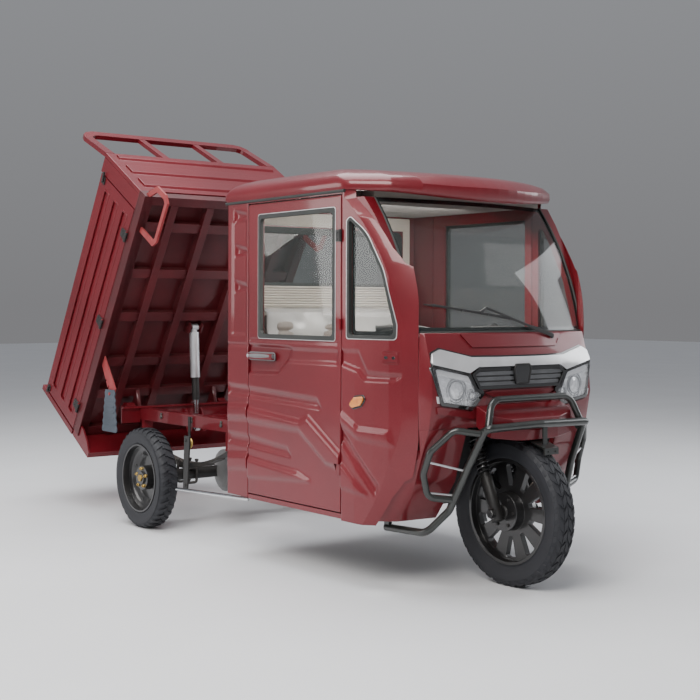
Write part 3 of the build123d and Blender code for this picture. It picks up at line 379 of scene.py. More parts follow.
def piece(name, mesh, mat, body, bevel=0.0, seg=2, replaces=(), angle=32, subd=0, weld=0.0):
    me = bpy.data.meshes.new(name)
    if isinstance(mesh, Mesh):
        me.from_pydata([tuple(v) for v in mesh.v], [], mesh.f)
        bm = bmesh.new()
        bm.from_mesh(me)
        if weld:
            bmesh.ops.remove_doubles(bm, verts=bm.verts, dist=weld)
        bmesh.ops.recalc_face_normals(bm, faces=bm.faces)
        bm.to_mesh(me)
        bm.free()
    else:
        mesh.to_mesh(me)
        mesh.free()
    ob = bpy.data.objects.new(name, me)
    bpy.context.scene.collection.objects.link(ob)
    me.shade_smooth()
    me.set_sharp_from_angle(angle=math.radians(angle))
    me.materials.append(M[mat] if isinstance(mat, str) else mat)
    if bevel:
        bv = ob.modifiers.new("edge", "BEVEL")
        bv.width = bevel / 1000.0
        bv.segments = seg
        bv.limit_method = "ANGLE"
        bv.angle_limit = math.radians(angle)
        bv.use_clamp_overlap = True
        bv.harden_normals = True
    if subd:
        sd = ob.modifiers.new("soft", "SUBSURF")
        sd.levels = sd.render_levels = subd
    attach(ob, body)
    if replaces:
        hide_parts(*replaces)
    return ob


def fillet_poly(pts, r, n=6):
    """Corners of a polygon rounded by r (a number or one for each corner)."""
    out = []
    k = len(pts)
    for i in range(k):
        a, b, c = (Vector((*pts[(i + d) % k], 0)) for d in (-1, 0, 1))
        u, w = (a - b), (c - b)
        lu, lw = u.length, w.length
        u.normalize(); w.normalize()
        ang = u.angle(w)
        rr = r[i] if isinstance(r, (list, tuple)) else r
        d = min(rr / max(math.tan(ang / 2), 1e-3), lu * 0.48, lw * 0.48)
        rad = d * math.tan(ang / 2)
        p0, p1 = b + u * d, b + w * d
        cen = b + (u + w).normalized() * (d / max(math.cos(ang / 2), 1e-6))
        for j in range(n + 1):
            q = p0.lerp(p1, j / n)
            v = q - cen
            if v.length > 1e-9:
                q = cen + v.normalized() * rad
            out.append((q.x, q.y))
    return out


def offset_poly(pts, d):
    """Polygon moved outwards by d (inwards when negative)."""
    k = len(pts)
    area = sum(pts[i][0] * pts[(i + 1) % k][1] - pts[(i + 1) % k][0] * pts[i][1] for i in range(k))
    sg = 1 if area > 0 else -1
    out = []
    for i in range(k):
        a, b, c = (Vector(pts[(i + e) % k]) for e in (-1, 0, 1))
        e1, e2 = (b - a).normalized(), (c - b).normalized()
        n1, n2 = Vector((e1.y, -e1.x)) * sg, Vector((e2.y, -e2.x)) * sg
        m = (n1 + n2)
        m = m / max(m.length_squared / 2, 0.15)
        out.append((b.x + m.x * d, b.y + m.y * d))
    return out


def rrect(x0, x1, z0, z1, r, n=6):
    return fillet_poly([(x0, z0), (x1, z0), (x1, z1), (x0, z1)], r, n)


def frame_loop(base, out, inn, r_out, r_in, n=6):
    return fillet_poly(offset_poly(base, out), r_out, n), fillet_poly(offset_poly(base, inn), r_in, n)


def smooth_path(pts, step=12.0, bend=None, closed=False):
    """Close points along straight runs with rounded corners."""
    p = [Vector(a) for a in pts]
    k = len(p)
    out = []
    rng = range(k) if closed else range(1, k - 1)
    if not closed:
        out.append(p[0])
    for i in rng:
        a, b, c = p[(i - 1) % k], p[i], p[(i + 1) % k]
        u, w = a - b, c - b
        r = (bend[i] if isinstance(bend, (list, tuple)) else bend) or 20.0
        lu, lw = u.length, w.length
        u.normalize(); w.normalize()
        ang = u.angle(w)
        d = min(r / max(math.tan(ang / 2), 1e-3), lu * 0.49, lw * 0.49)
        p0, p1 = b + u * d, b + w * d
        m = 9
        for j in range(m + 1):
            t = j / m
            out.append(p0 * (1 - t) ** 2 + b * 2 * t * (1 - t) + p1 * t * t)
    if not closed:
        out.append(p[-1])
    return [tuple(q) for q in out]


def inside_depth(px, pz, poly):
    """Signed distance to a polygon's outline, positive inside (arrays)."""
    n = len(poly)
    best = np.full(px.shape, 1e9)
    ins = np.zeros(px.shape, bool)
    for i in range(n):
        (ax, az), (bx, bz) = poly[i], poly[(i + 1) % n]
        ex, ez = bx - ax, bz - az
        t = np.clip(((px - ax) * ex + (pz - az) * ez) / max(ex * ex + ez * ez, 1e-9), 0, 1)
        best = np.minimum(best, np.hypot(px - ax - t * ex, pz - az - t * ez))
        cond = (az > pz) != (bz > pz)
        with np.errstate(divide="ignore", invalid="ignore"):
            xi = ax + (pz - az) * (bx - ax) / (bz - az if bz != az else 1e-9)
        ins ^= cond & (px < xi)
    return np.where(ins, best, -best)


def formed(px, pz, feats):
    """Height of a pressed panel: each feature is a polygon with a depth and the width of its slope."""
    h = np.zeros(px.shape)
    for poly, depth, soft in feats:
        d = inside_depth(px, pz, poly)
        t = np.clip(d / soft + 0.5, 0, 1)
        h += depth * t * t * (3 - 2 * t)
    return h


def pressed(name, node_name, s, y_face, feats, step, mat, body, bevel=4.0, angle=40, mirror_of=None):
    """Copy of a CAD panel with its outer face cut fine and pressed to shape."""
    bm = bmesh.new()
    bm.from_mesh(NODES[node_name].data)
    bmesh.ops.remove_doubles(bm, verts=bm.verts, dist=1e-5)
    bmesh.ops.dissolve_limit(bm, angle_limit=math.radians(1), verts=bm.verts, edges=bm.edges)
    def on_face(v):
        yp = y_face if not callable(y_face) else float(y_face(v.co.x * 1000 - XF))
        return abs(v.co.y - s * yp / 1000.0) < 6e-4
    fs = [f for f in bm.faces if all(on_face(v) for v in f.verts)]
    if feats:
        xs = [p[0] for f in feats for p in f[0]]
        zs = [p[1] for f in feats for p in f[0]]
    geom = list({v for f in fs for v in f.verts}) + list({e for f in fs for e in f.edges}) + fs
    lo = Vector((min(v.co.x for f in fs for v in f.verts), 0, min(v.co.z for f in fs for v in f.verts)))
    hi = Vector((max(v.co.x for f in fs for v in f.verts), 0, max(v.co.z for f in fs for v in f.verts)))
    st = step / 1000.0
    for ax, a, b, nrm in ((0, lo.x, hi.x, (1, 0, 0)), (2, lo.z, hi.z, (0, 0, 1))):
        w = a + st
        while w < b - st * 0.4:
            co = Vector((0, 0, 0))
            co[ax] = w
            res = bmesh.ops.bisect_plane(bm, geom=geom, dist=1e-6, plane_co=co, plane_no=nrm)
            geom = res["geom"]
            w += st
    vs = [v for v in bm.verts if on_face(v)]
    px = np.array([v.co.x * 1000 - XF for v in vs])
    pz = np.array([v.co.z * 1000 for v in vs])
    hh = formed(px, pz, feats)
    for v, h in zip(vs, hh):
        v.co.y += s * h / 1000.0
    bmesh.ops.recalc_face_normals(bm, faces=bm.faces)
    return piece(name, bm, mat, body, bevel=bevel, replaces=(node_name,), angle=angle)


SIDE_PLAN = ((-420, 567), (-330, 562.5), (-230, 549), (-150, 535), (-94, 514), (-40, 480))


def y_plan(x):
    """Half width of the cab side's outer face, which draws in towards the front."""
    return np.interp(x, [p[0] for p in SIDE_PLAN], [p[1] for p in SIDE_PLAN])


GX = np.linspace(-900, 0, 901)
GD = (567.0 - y_plan(GX)) / 3088.8
GF = (GX + 3606.1 * GD) / (1 + GD)


def side_pt(x, z):
    """Point given as if it lay on the flat side, moved onto the drawn-in one."""
    xx = float(np.interp(x, GF, GX))
    d = (567.0 - float(y_plan(xx))) / 3088.8
    return xx, z + (z - 1133.8) * d


def side_poly(pts, step=24.0):
    out = []
    k = len(pts)
    for i in range(k):
        a, b = pts[i], pts[(i + 1) % k]
        n = max(1, int(math.hypot(b[0] - a[0], b[1] - a[1]) / step))
        out += [side_pt(a[0] + (b[0] - a[0]) * t / n, a[1] + (b[1] - a[1]) * t / n) for t in range(n)]
    return out


def on_side(s):
    return lambda x, w, z: P(x, s * (float(y_plan(x)) + w), z)


def dense(o, i, step=24.0):
    """Two matching loops cut into short runs."""
    O, I = [], []
    k = len(o)
    for a in range(k):
        b = (a + 1) % k
        n = max(1, int(math.hypot(o[b][0] - o[a][0], o[b][1] - o[a][1]) / step))
        for t in range(n):
            O.append((o[a][0] + (o[b][0] - o[a][0]) * t / n, o[a][1] + (o[b][1] - o[a][1]) * t / n))
            I.append((i[a][0] + (i[b][0] - i[a][0]) * t / n, i[a][1] + (i[b][1] - i[a][1]) * t / n))
    return O, I


# ------------------------------------------------------------------ CAD nodes that stay, with softened edges
def dress(name, mat, bevel=0.0, angle=38, seg=2):
    ob = NODES[name]
    ob.data.materials.clear()
    ob.data.materials.append(M[mat])
    if bevel:
        w = ob.modifiers.new("weld", "WELD")
        w.merge_threshold = 0.00001
        bv = ob.modifiers.new("edge", "BEVEL")
        bv.width = bevel / 1000.0
        bv.segments = seg
        bv.limit_method = "ANGLE"
        bv.angle_limit = math.radians(angle)
        bv.harden_normals = True
    return ob


for nm, mt, bv in (
    ("bar_guard_left", "black_tube", 0), ("bar_guard_right", "black_tube", 0), ("bull_bar", "black_tube", 0), ("battery_block", "battery", 5),
    ("bed_brackets", "bracket_red", 0), ("bed_floor", "dark_red_frame", 1), ("bed_frame", "dark_red_frame", 2), ("cab_floor", "floor_steel", 2),
    ("chassis_frame", "red_paint", 3), ("cylinder_barrel", "cylinder_silver", 0), ("cylinder_rod", "bright_rod", 0), ("cylinder_stage", "black_steel", 0),
    ("dashboard", "black_plastic", 6), ("door_glass_left", "glass", 0), ("door_glass_right", "glass", 0), ("drive_unit", "cast_alloy", 3),
    ("fixed_glass", "glass", 0), ("fork", "black_steel", 2), ("front_corners", "red_paint", 3), ("front_fascia", "red_paint", 2), ("front_rim", "black_alloy", 2),
    ("handlebar", "black_steel", 0), ("headboard", "red_paint", 3), ("leaf_springs", "spring_steel", 1.5), ("nose_beak", "red_paint", 4), ("rear_axle", "black_steel", 0),
    ("rear_rim_left", "black_alloy", 1.5), ("rear_rim_right", "black_alloy", 1.5), ("rear_wall", "red_paint", 3), ("roof_liner", "headliner", 2),
    ("seat_base", "black_plastic", 4), ("side_gate_left", "red_paint", 2), ("side_gate_right", "red_paint", 2), ("steering_head", "black_steel", 2),
    ("tail_lamps", "tail_lens", 5), ("tail_skirt", "red_paint", 3), ("tailgate", "red_paint", 2), ("underrun_rods", "bright_rod", 0),
    ("wheel_housing", "black_plastic", 2), ("windshield_pillars", "red_paint", 4), ("front_tyre", "tyre_rubber", 0), ("rear_tyre_left", "tyre_rubber", 0),
    ("rear_tyre_right", "tyre_rubber", 0), ("roof", "red_paint", 4), ("windshield", "glass", 0), ("wiper", "black_plastic", 0), ("headlamps", "lamp_lens", 0),
    ("lamp_band", "silver_trim", 1), ("grille", "gloss_black", 1), ("load_rack", "red_paint", 0), ("seat_cushion", "seat_vinyl", 0), ("seat_back", "seat_vinyl", 0),
    ("door_panel_left", "red_paint", 0), ("door_panel_right", "red_paint", 0), ("side_front_left", "red_paint", 0), ("side_front_right", "red_paint", 0),
    ("side_rear_left", "red_paint", 0), ("side_rear_right", "red_paint", 0), ("mudflap_left", "mudflap_rubber", 1), ("mudflap_right", "mudflap_rubber", 1),
):
    dress(nm, mt, bv)

# ------------------------------------------------------------------ cab sides
DOOR_FEATS = [
    ([(-1100, 960), (-800, 957), (-764, 950), (-798, 896), (-867, 842), (-1100, 836)], -11.0, 16),
    ([(-764, 950), (-440, 950), (-440, 897), (-487, 897), (-798, 895)], -6.0, 12),
    ([(-1100, 673), (-696, 645), (-640, 666), (-400, 520), (-400, 470), (-509, 488), (-704, 608), (-1100, 620)], 12.0, 30),
    ([(-1100, 450), (-711, 423), (-630, 398), (-1100, 366)], 10.0, 26),
    ([(-1100, 766), (-581, 744), (-556, 708), (-1100, 727)], -8.0, 20),
    ([(-1100, 550), (-796, 523), (-770, 492), (-1100, 510)], -8.0, 20),
    ([(-1082, 980), (-430, 980), (-430, 988), (-1082, 988)], -3.0, 6),
]
FRONT_FEATS = [
    ([(-420, 952), (-305, 954), (-246, 870), (-36, 866), (-77, 846), (-260, 842), (-304, 876), (-420, 901)], -8.0, 16),
    ([(-420, 640), (-180, 432), (-196, 398), (-420, 588)], -9.0, 22),
    ([(-420, 503), (-245, 384), (-420, 399)], 8.0, 22),
    ([(-420, 706), (-300, 646), (-110, 646), (-90, 596), (-300, 604), (-420, 662)], 7.0, 24),
]
REAR_FEATS = [
    ([(-1230, 1006), (-1115, 1006), (-1115, 1516), (-1230, 1516)], -4.0, 9),
    ([(-1209, 1562), (-1117, 1548), (-1117, 1530), (-1209, 1518)], -12.0, 22),
    ([(-1209, 1404), (-1117, 1390), (-1117, 1372), (-1209, 1360)], -12.0, 22),
    ([(-1209, 1243), (-1117, 1229), (-1117, 1211), (-1209, 1199)], -12.0, 22),
    ([(-1300, 961), (-1080, 961), (-1080, 953), (-1300, 953)], -4.0, 6),
    ([(-1262, 678), (-1074, 688), (-1074, 631), (-1262, 621)], 12.0, 28),
    ([(-1262, 453), (-1074, 467), (-1074, 404), (-1262, 389)], 10.0, 26),
    ([(-1262, 773), (-1074, 767), (-1074, 727), (-1262, 733)], -8.0, 18),
    ([(-1262, 551), (-1074, 548), (-1074, 510), (-1262, 513)], -8.0, 18),
]
STEP = 7.0
for side, s in (("right", -1), ("left", 1)):
    pressed(f"door_skin_{side}", f"door_panel_{side}", s, 567, DOOR_FEATS, STEP, "red_paint", f"door_{side}")
    pressed(f"cab_front_side_{side}", f"side_front_{side}", s, y_plan, [([side_pt(*q) for q in poly], d_, w_) for poly, d_, w_ in FRONT_FEATS], STEP, "red_paint", "chassis", bevel=6.0)
    pressed(f"cab_rear_side_{side}", f"side_rear_{side}", s, 567, REAR_FEATS, STEP, "red_paint", "chassis", bevel=5.0)

    # window rubbers, with a light line inside
    base = [(-1012, 996), (-459, 996), (-459, 1532), (-1012, 1532)]
    o, i = frame_loop(base, 5, -14, 12, 18)
    piece(f"door_window_rubber_{side}", Mesh().ring_prism(o, i, s * 552, s * 570.5), "rubber_seal", f"door_{side}", bevel=2.5)
    o, i = frame_loop(base, 7.5, 5, 14, 12)
    piece(f"door_window_bead_{side}", Mesh().ring_prism(o, i, s * 562, s * 569), "silver_trim", f"door_{side}", bevel=0.6)
    TS = on_side(s)
    q = [(-374, 1008), (-123, 1008), (-121, 1060), (-179, 1270), (-267, 1424), (-358, 1488), (-374, 1476)]
    rr_o, rr_i = [12, 16, 60, 200, 200, 26, 14], [16, 20, 60, 200, 200, 14, 10]
    o, i = frame_loop(q, 5, -9, rr_o, rr_i)
    piece(f"quarter_window_rubber_{side}", Mesh(TS).ring_prism(*dense(o, i), -14, 3), "rubber_seal", "chassis", bevel=2)
    o, i = frame_loop(q, 7.5, 5, rr_o, rr_o)
    piece(f"quarter_window_bead_{side}", Mesh(TS).ring_prism(*dense(o, i), -4, 2.5), "silver_trim", "chassis", bevel=0.5)
    o, i = frame_loop(q, -8, -26, rr_i, [12, 14, 50, 190, 190, 10, 8])
    piece(f"quarter_window_border_{side}", Mesh(TS).ring_prism(*dense(o, i), -17.6, -17.2), "gloss_black", "chassis")

    # door handle: base plate, tapered pull with a hollow behind it, and lock
    h = Mesh()
    h.prism(rrect(-1092, -884, 892, 930, 15), s * 564, s * 569.5)
    h.prism(rrect(-1090, -1062, 899, 925, 8), s * 567, s * 580)
    h.prism(rrect(-912, -888, 901, 921, 7), s * 567, s * 579)
    n_ = 24
    V, F = [], []
    for k in range(n_ + 1):
        t = k / n_
        x = -1088 + 200 * t
        zc, hh = 912 + 2 * t, 12.5 - 4.0 * t
        yo_ = 582 + 3.0 * math.sin(math.pi * t)
        V += [(x, s * (yo_ - 9), zc - hh), (x, s * (yo_ - 2.5), zc - hh), (x, s * yo_, zc - hh * 0.55), (x, s * yo_, zc + hh * 0.55), (x, s * (yo_ - 2.5), zc + hh), (x, s * (yo_ - 9), zc + hh)]
    for k in range(n_):
        for j in range(6):
            F.append((k * 6 + j, k * 6 + (j + 1) % 6, k * 6 + 6 + (j + 1) % 6, k * 6 + 6 + j))
    F += [tuple(reversed(range(6))), tuple(range(n_ * 6, n_ * 6 + 6))]
    h.add(V, F)
    piece(f"door_handle_{side}", h, "grey_plastic", f"door_{side}", bevel=2, seg=2)
    piece(f"door_lock_{side}", Mesh().cyl((-1076, s * 583, 912), (-1076, s * 585.5, 912), 7.5, 24).cyl((-1076, s * 585, 912), (-1076, s * 586.4, 912), 5.2, 20), "silver_steel", f"door_{side}", bevel=0.5)
    # upper hinge, black, with two screws
    hg = Mesh()
    for z in (1420,):
        hg.box(-449, -414, s * 566.5, s * 571.5, z - 24, z + 24)
        hg.cyl((-414, s * 573, z - 25), (-414, s * 573, z + 25), 6.6, 20)
        for k in (-13, 13):
            hg.dome((-436, s * 571.5, z + k), (0, s, 0), 4.6, 2.4, 16, 4, 1)
    piece(f"door_hinges_{side}", hg, "black_steel", f"door_{side}", bevel=0.8)
    # side lamp and vent pad, on the drawn-in side
    SL = [(-352, 738), (-318, 770), (-268, 776), (-258, 764), (-280, 738), (-330, 726)]
    piece(f"side_lamp_base_{side}", Mesh(TS).prism(side_poly(fillet_poly(offset_poly(SL, 6), 12, 5)), -1, 4), "gloss_black", "chassis", bevel=1.5)
    piece(f"side_lamp_lens_{side}", Mesh(TS).prism(side_poly(fillet_poly(SL, 10, 5)), 3, 13), "amber_lens", "chassis", bevel=4, seg=3)
    vo = side_poly(fillet_poly([(-154, 909), (-50, 909), (-50, 959), (-154, 959)], 9))
    vi = side_poly(fillet_poly([(-146, 917), (-58, 917), (-58, 951), (-146, 951)], 6))
    vp = Mesh(TS)
    vp.prism(vo, -2, 2.6)
    vp.prism(vi, 0, 4.2)
    piece(f"vent_pad_{side}", vp, "red_paint", "chassis", bevel=1.4)
    # painted shade: black ovals on the pad stand in for the open vent slots, which are dark with shade
    vs_ = Mesh(TS)
    for xc_ in (-125, -79):
        vs_.prism([side_pt(xc_ + 11 * math.cos(a_ / 8 * math.pi), 934 + 6 * math.sin(a_ / 8 * math.pi)) for a_ in range(16)], 3, 5.0)
    piece(f"vent_slot_shade_ovals_{side}", vs_, "gloss_black", "chassis", bevel=0.8)
    # seal between roof and side
    piece(f"roof_seal_{side}", Mesh().tube([(-1280, s * 569, 1601), (-392, s * 569, 1601)], 6.5, 12), "rubber_seal", "chassis")

# ------------------------------------------------------------------ roof
ROOF = (  # z, half width, x of the visor's middle, x of the side's front end, x of the rear, corner radius
    (1603, 566, -108, -392, -1296, 40), (1606, 573, -99, -392, -1303, 46), (1620, 577, -86, -394, -1316, 56), (1640, 576, -84, -398, -1320, 64),
    (1660, 566, -130, -412, -1312, 72), (1678, 548, -212, -434, -1298, 84), (1692, 522, -310, -462, -1274, 90), (1703, 487, -420, -510, -1238, 90),
    (1710, 448, -500, -570, -1196, 90), (1714.5, 400, -560, -640, -1150, 90), (1717, 330, -640, -720, -1080, 80), (1718, 200, -760, -820, -960, 60),
)


def roof_ring(z, h, xm, xs, xr, rc):
    pts = [(xr, h), (xr, -h), (xs, -h)]
    k, xc = 0.80 * h, xs + 0.53 * (xm - xs)
    n = 16
    arc = []
    # front visor: gentle arc between the two rounded shoulders
    for i in range(n + 1):
        y = -k + 2 * k * i / n
        arc.append((xc + (xm - xc) * (1 - (y / k) ** 2), y))
    pts = [(xr, -h), (xs, -h)] + arc + [(xs, h), (xr, h)]
    r = [rc, 110] + [60] + [4] * (n - 1) + [60] + [110, rc]
    out = fillet_poly(pts, r, 6)
    return [(x, y, z) for x, y in out]


rm = Mesh()
rings = [roof_ring(*r) for r in ROOF]
m = len(rings[0])
vv = [p for r in rings for p in r]
ff = [(i * m + j, i * m + (j + 1) % m, (i + 1) * m + (j + 1) % m, (i + 1) * m + j) for i in range(len(rings) - 1) for j in range(m)]
ff.append(tuple((len(rings) - 1) * m + j for j in range(m)))
inner = [[(-700 + (x + 700) * 0.965, y * 0.965, z) for x, y, z in rings[1]], [(-700 + (x + 700) * 0.96, y * 0.96, 1632) for x, y, z in rings[1]]]
k0 = len(vv)
vv += inner[0] + inner[1]
ff += [(j, k0 + j, k0 + (j + 1) % m, (j + 1) % m) for j in range(m)]
ff += [(k0 + j, k0 + m + j, k0 + m + (j + 1) % m, k0 + (j + 1) % m) for j in range(m)]
ff.append(tuple(k0 + m + j for j in range(m)))


def droop(q):
    """The visor's lip hangs lower towards its middle."""
    t = min(max((q[0] + 400) / 290.0, 0), 1)
    w = min(max((1668 - q[2]) / 52.0, 0), 1)
    return (q[0], q[1], q[2] - 41 * t * t * w)


rm.add([droop(q) for q in vv], ff)
piece("roof_cap", rm, "red_paint", "chassis", replaces=("roof",), angle=50)

# ------------------------------------------------------------------ windshield, its rubber and border
def arc3(a, b, c):
    """Circle through three points of a plane, as x for each z on its front side."""
    ax, az, bx, bz, cx, cz = *a, *b, *c
    d = 2 * (ax * (bz - cz) + bx * (cz - az) + cx * (az - bz))
    ux = ((ax * ax + az * az) * (bz - cz) + (bx * bx + bz * bz) * (cz - az) + (cx * cx + cz * cz) * (az - bz)) / d
    uz = ((ax * ax + az * az) * (cx - bx) + (bx * bx + bz * bz) * (ax - cx) + (cx * cx + cz * cz) * (bx - ax)) / d
    r = math.hypot(ax - ux, az - uz)
    return ux, uz, r


GLASS = ((1029.5, -64, -12), (1119, -84, -30), (1249, -122, -64), (1404, -198, -138), (1500, -258, -196), (1574, -314, -250))
WE = np.polyfit([g[0] - 1300 for g in GLASS], [g[1] for g in GLASS], 3)
WM = np.polyfit([g[0] - 1300 for g in GLASS], [g[2] for g in GLASS], 3)


def ws_edge(z):
    return float(np.polyval(WE, z - 1300))


def ws_x(y, z):
    return ws_edge(z) + (float(np.polyval(WM, z - 1300)) - ws_edge(z)) * (1 - (y / 474.0) ** 2)


wm = Mesh()
NY, NZ = 40, 40
def sheet_grid(mesh, fx, y0, y1, z0, z1, th, ny=NY, nz=NZ):
    g, f = [], []
    for w in (0, 1):
        for i in range(nz + 1):
            for j in range(ny + 1):
                y, z = y0 + (y1 - y0) * j / ny, z0 + (z1 - z0) * i / nz
                g.append((fx(y, z) - w * th, y, z))
    n = (nz + 1) * (ny + 1)
    for i in range(nz):
        for j in range(ny):
            a = i * (ny + 1) + j
            f += [(a, a + 1, a + ny + 2, a + ny + 1), (n + a, n + a + ny + 1, n + a + ny + 2, n + a + 1)]
    for j in range(ny):
        a = j; f.append((a, n + a, n + a + 1, a + 1))
        a = nz * (ny + 1) + j; f.append((a, a + 1, n + a + 1, n + a))
    for i in range(nz):
        a = i * (ny + 1); f.append((a, a + ny + 1, n + a + ny + 1, n + a))
        a = i * (ny + 1) + ny; f.append((a, n + a, n + a + ny + 1, a + ny + 1))
    mesh.add(g, f)


sheet_grid(wm, ws_x, -474, 474, 1031, 1574, 4.5)
piece("windshield_glass", wm, "glass", "chassis", replaces=("windshield",))
bm_ = Mesh()
sheet_grid(bm_, lambda y, z: ws_x(y, z) - 5.0, -474, 474, 1031, 1050, 1.2, 40, 3)
sheet_grid(bm_, lambda y, z: ws_x(y, z) - 5.0, -474, 474, 1556, 1574, 1.2, 40, 3)
for s in (-1, 1):
    sheet_grid(bm_, lambda y, z: ws_x(y, z) - 5.0, s * 474, s * 461, 1050, 1556, 1.2, 2, 40)
piece("windshield_border", bm_, "gloss_black", "chassis")
loop = [(ws_x(s * 474, z) + 1, s * 476, z) for s, zs in ((-1, np.linspace(1574, 1031, 40)), ) for z in zs]
loop += [(ws_x(y, 1030) + 1, y, 1030) for y in np.linspace(-474, 474, 30)]
loop += [(ws_x(474, z) + 1, 476, z) for z in np.linspace(1031, 1574, 40)]
piece("windshield_rubber", Mesh().tube(loop, 5.0, 12), "rubber_seal", "chassis")

# ------------------------------------------------------------------ front: lamps, band, grille and badge
FASCIA = ((655, -149, -8, 22), (775, -142, 14, 34), (902, -158, 4, 40), (960, -128, -14, 22), (1029, -102, -34, -8))


def fx(y, z):
    y = abs(y)
    zs = [r[0] for r in FASCIA]
    xe, xl, xm = (float(np.interp(z, zs, [r[k] for r in FASCIA])) for k in (1, 2, 3))
    if y > 452:
        return xl + (xe - xl) * (y - 452) / 87.0
    d = xm - xl
    if abs(d) < 0.5:
        return xl
    r = (452.0 ** 2 + d * d) / (2 * d)
    return xm - (r - math.copysign(math.sqrt(max(r * r - y * y, 0)), r))


def patch(poly, out0, out1, step=18.0, surf=fx):
    """Plate that follows the front's curve, between two distances in front of it."""
    bm = bmesh.new()
    vs = [bm.verts.new((0, y, z)) for y, z in poly]
    f = bm.faces.new(vs)
    for ax in (1, 2):
        a, b = min(p[ax - 1] for p in poly), max(p[ax - 1] for p in poly)
        w = a + step
        while w < b - 1:
            co, no = [0, 0, 0], [0, 0, 0]
            co[ax], no[ax] = w, 1
            bmesh.ops.bisect_plane(bm, geom=bm.verts[:] + bm.edges[:] + bm.faces[:], dist=1e-4, plane_co=co, plane_no=no)
            w += step
    r = bmesh.ops.extrude_face_region(bm, geom=bm.faces[:])
    top = {v for v in r["geom"] if isinstance(v, bmesh.types.BMVert)}
    bm.verts.index_update()
    V = [(surf(v.co.y, v.co.z) + (out1 if v in top else out0), v.co.y, v.co.z) for v in bm.verts]
    F = [tuple(v.index for v in f.verts) for f in bm.faces]
    bm.free()
    return V, F


LAMP = [(455, 905), (277, 868), (241, 806), (201, 796), (258, 730), (412, 754)]
BAND = [(-451, 909), (-441, 950), (-402, 966), (-261, 934), (-110, 932), (110, 932), (261, 934), (402, 966), (441, 950), (451, 909), (277, 872), (233, 895), (-233, 895), (-277, 872)]
GRILLE = [(-268, 866), (-231, 890), (231, 890), (268, 866), (229, 806), (-229, 806)]
lens, hous, refl, proj, ring_, fac = Mesh(), Mesh(), Mesh(), Mesh(), Mesh(), Mesh()
for s in (-1, 1):
    L0 = [(s * y, z) for y, z in LAMP]
    a = fillet_poly(L0, 12, 4)
    lens.add(*patch(a, 7, 10.5))
    o, i = fillet_poly(offset_poly(L0, 5), 14, 5), fillet_poly(offset_poly(L0, -9), 8, 5)
    k = len(o)
    V = [(fx(y, z) + w, y, z) for w in (0.5, 11.5) for y, z in o] + [(fx(y, z) + w, y, z) for w in (0.5, 11.5) for y, z in i]
    F = []
    for q in range(k):
        r_ = (q + 1) % k
        F += [(q, r_, k + r_, k + q), (2 * k + q, 3 * k + q, 3 * k + r_, 2 * k + r_), (k + q, k + r_, 3 * k + r_, 3 * k + q), (q, 2 * k + q, 2 * k + r_, r_)]
    hous.add(V, F)
    refl.add(*patch(fillet_poly(offset_poly(L0, -8), 8, 4), 0.5, 2.5))
    for yy, zz, r in ((s * 338, 806, 40), (s * 258, 782, 20)):
        x0 = fx(yy, zz)
        ring_.lathe([(r, 0), (r, 5.2), (r - 3, 6.4), (r - 6, 5), (r - 7, 1)], (x0, yy, zz), (1, s * 0.1, 0), 40)
        ring_.lathe([(r + 9, 0), (r + 9, 4.4), (r + 6, 4.6), (r + 6, 0)], (x0, yy, zz), (1, s * 0.1, 0), 40)
        proj.dome((x0 + 1, yy, zz), (1, s * 0.1, 0), r - 9, 4.6, 32, 6, 1)
    for k in range(6):
        ya, za, zb = 292 + 24 * k, 748 + 1.5 * k, 776 + 2 * k
        fac.add(*patch([(s * ya, za), (s * (ya + 17), za + 3), (s * (ya + 24), zb), (s * (ya + 7), zb - 3)], 1.5, 4.6, 30))
piece("lamp_glass", lens, "lamp_lens", "chassis", replaces=("headlamps",))
piece("lamp_bezels", hous, "gloss_black", "chassis", bevel=1.2)
piece("lamp_reflectors", refl, "reflector", "chassis")
piece("lamp_projectors", proj, "reflector", "chassis")
piece("lamp_rings", ring_, "grille_bar", "chassis")
piece("lamp_facets", fac, "silver_trim", "chassis", bevel=1.2)
dr = Mesh()
for s in (-1, 1):
    dr.add(*patch(fillet_poly([(s * 440, 893), (s * 284, 860), (s * 262, 826), (s * 276, 838), (s * 428, 868)], 4, 3), 2.0, 6.0))
piece("lamp_day_strips", dr, "silver_trim", "chassis", bevel=1)
# painted shade: a black plate a little larger than the band trim, whose 6 mm rim stands in for the dark gap round the
# trim
piece("lamp_band_gap_shade_plate", Mesh().add(*patch([(max(-451.5, min(451.5, y)), z) for y, z in fillet_poly(offset_poly(BAND, 6), 10, 4)], -1, 2.2)), "gloss_black", "chassis", bevel=0.8)
piece("lamp_band_trim", Mesh().add(*patch(fillet_poly(BAND, 8, 4), 0, 12)), "silver_trim", "chassis", bevel=4, seg=3, replaces=("lamp_band",), angle=45)

gr = Mesh()
o, i = fillet_poly(GRILLE, 8, 4), fillet_poly(offset_poly(GRILLE, -12), 5, 4)
k = len(o)
V = [(fx(y, z) + w, y, z) for w in (0, 14) for y, z in o] + [(fx(y, z) + w, y, z) for w in (0, 14) for y, z in i]
F = []
for q in range(k):
    r_ = (q + 1) % k
    F += [(q, r_, k + r_, k + q), (2 * k + q, 3 * k + q, 3 * k + r_, 2 * k + r_), (k + q, k + r_, 3 * k + r_, 3 * k + q), (q, 2 * k + q, 2 * k + r_, r_)]
gr.add(V, F)
gr.add(*patch(offset_poly(GRILLE, -4), 0, 2.5))
piece("grille_frame", gr, "gloss_black", "chassis", bevel=1.5, replaces=("grille",))
bars = Mesh()
for z in (826, 847, 868):
    hw = float(np.interp(z, [806, 866, 890], [229, 268, 231])) - 15
    bars.add(*patch([(-hw, z - 7.5), (hw, z - 7.5), (hw, z + 7.5), (-hw, z + 7.5)], 2, 9, 30))
piece("grille_bars", bars, "grille_bar", "chassis", bevel=1.6, angle=50)
BADGE = [(-36, 824), (-47, 880), (-38, 901), (38, 901), (47, 880), (36, 824)]
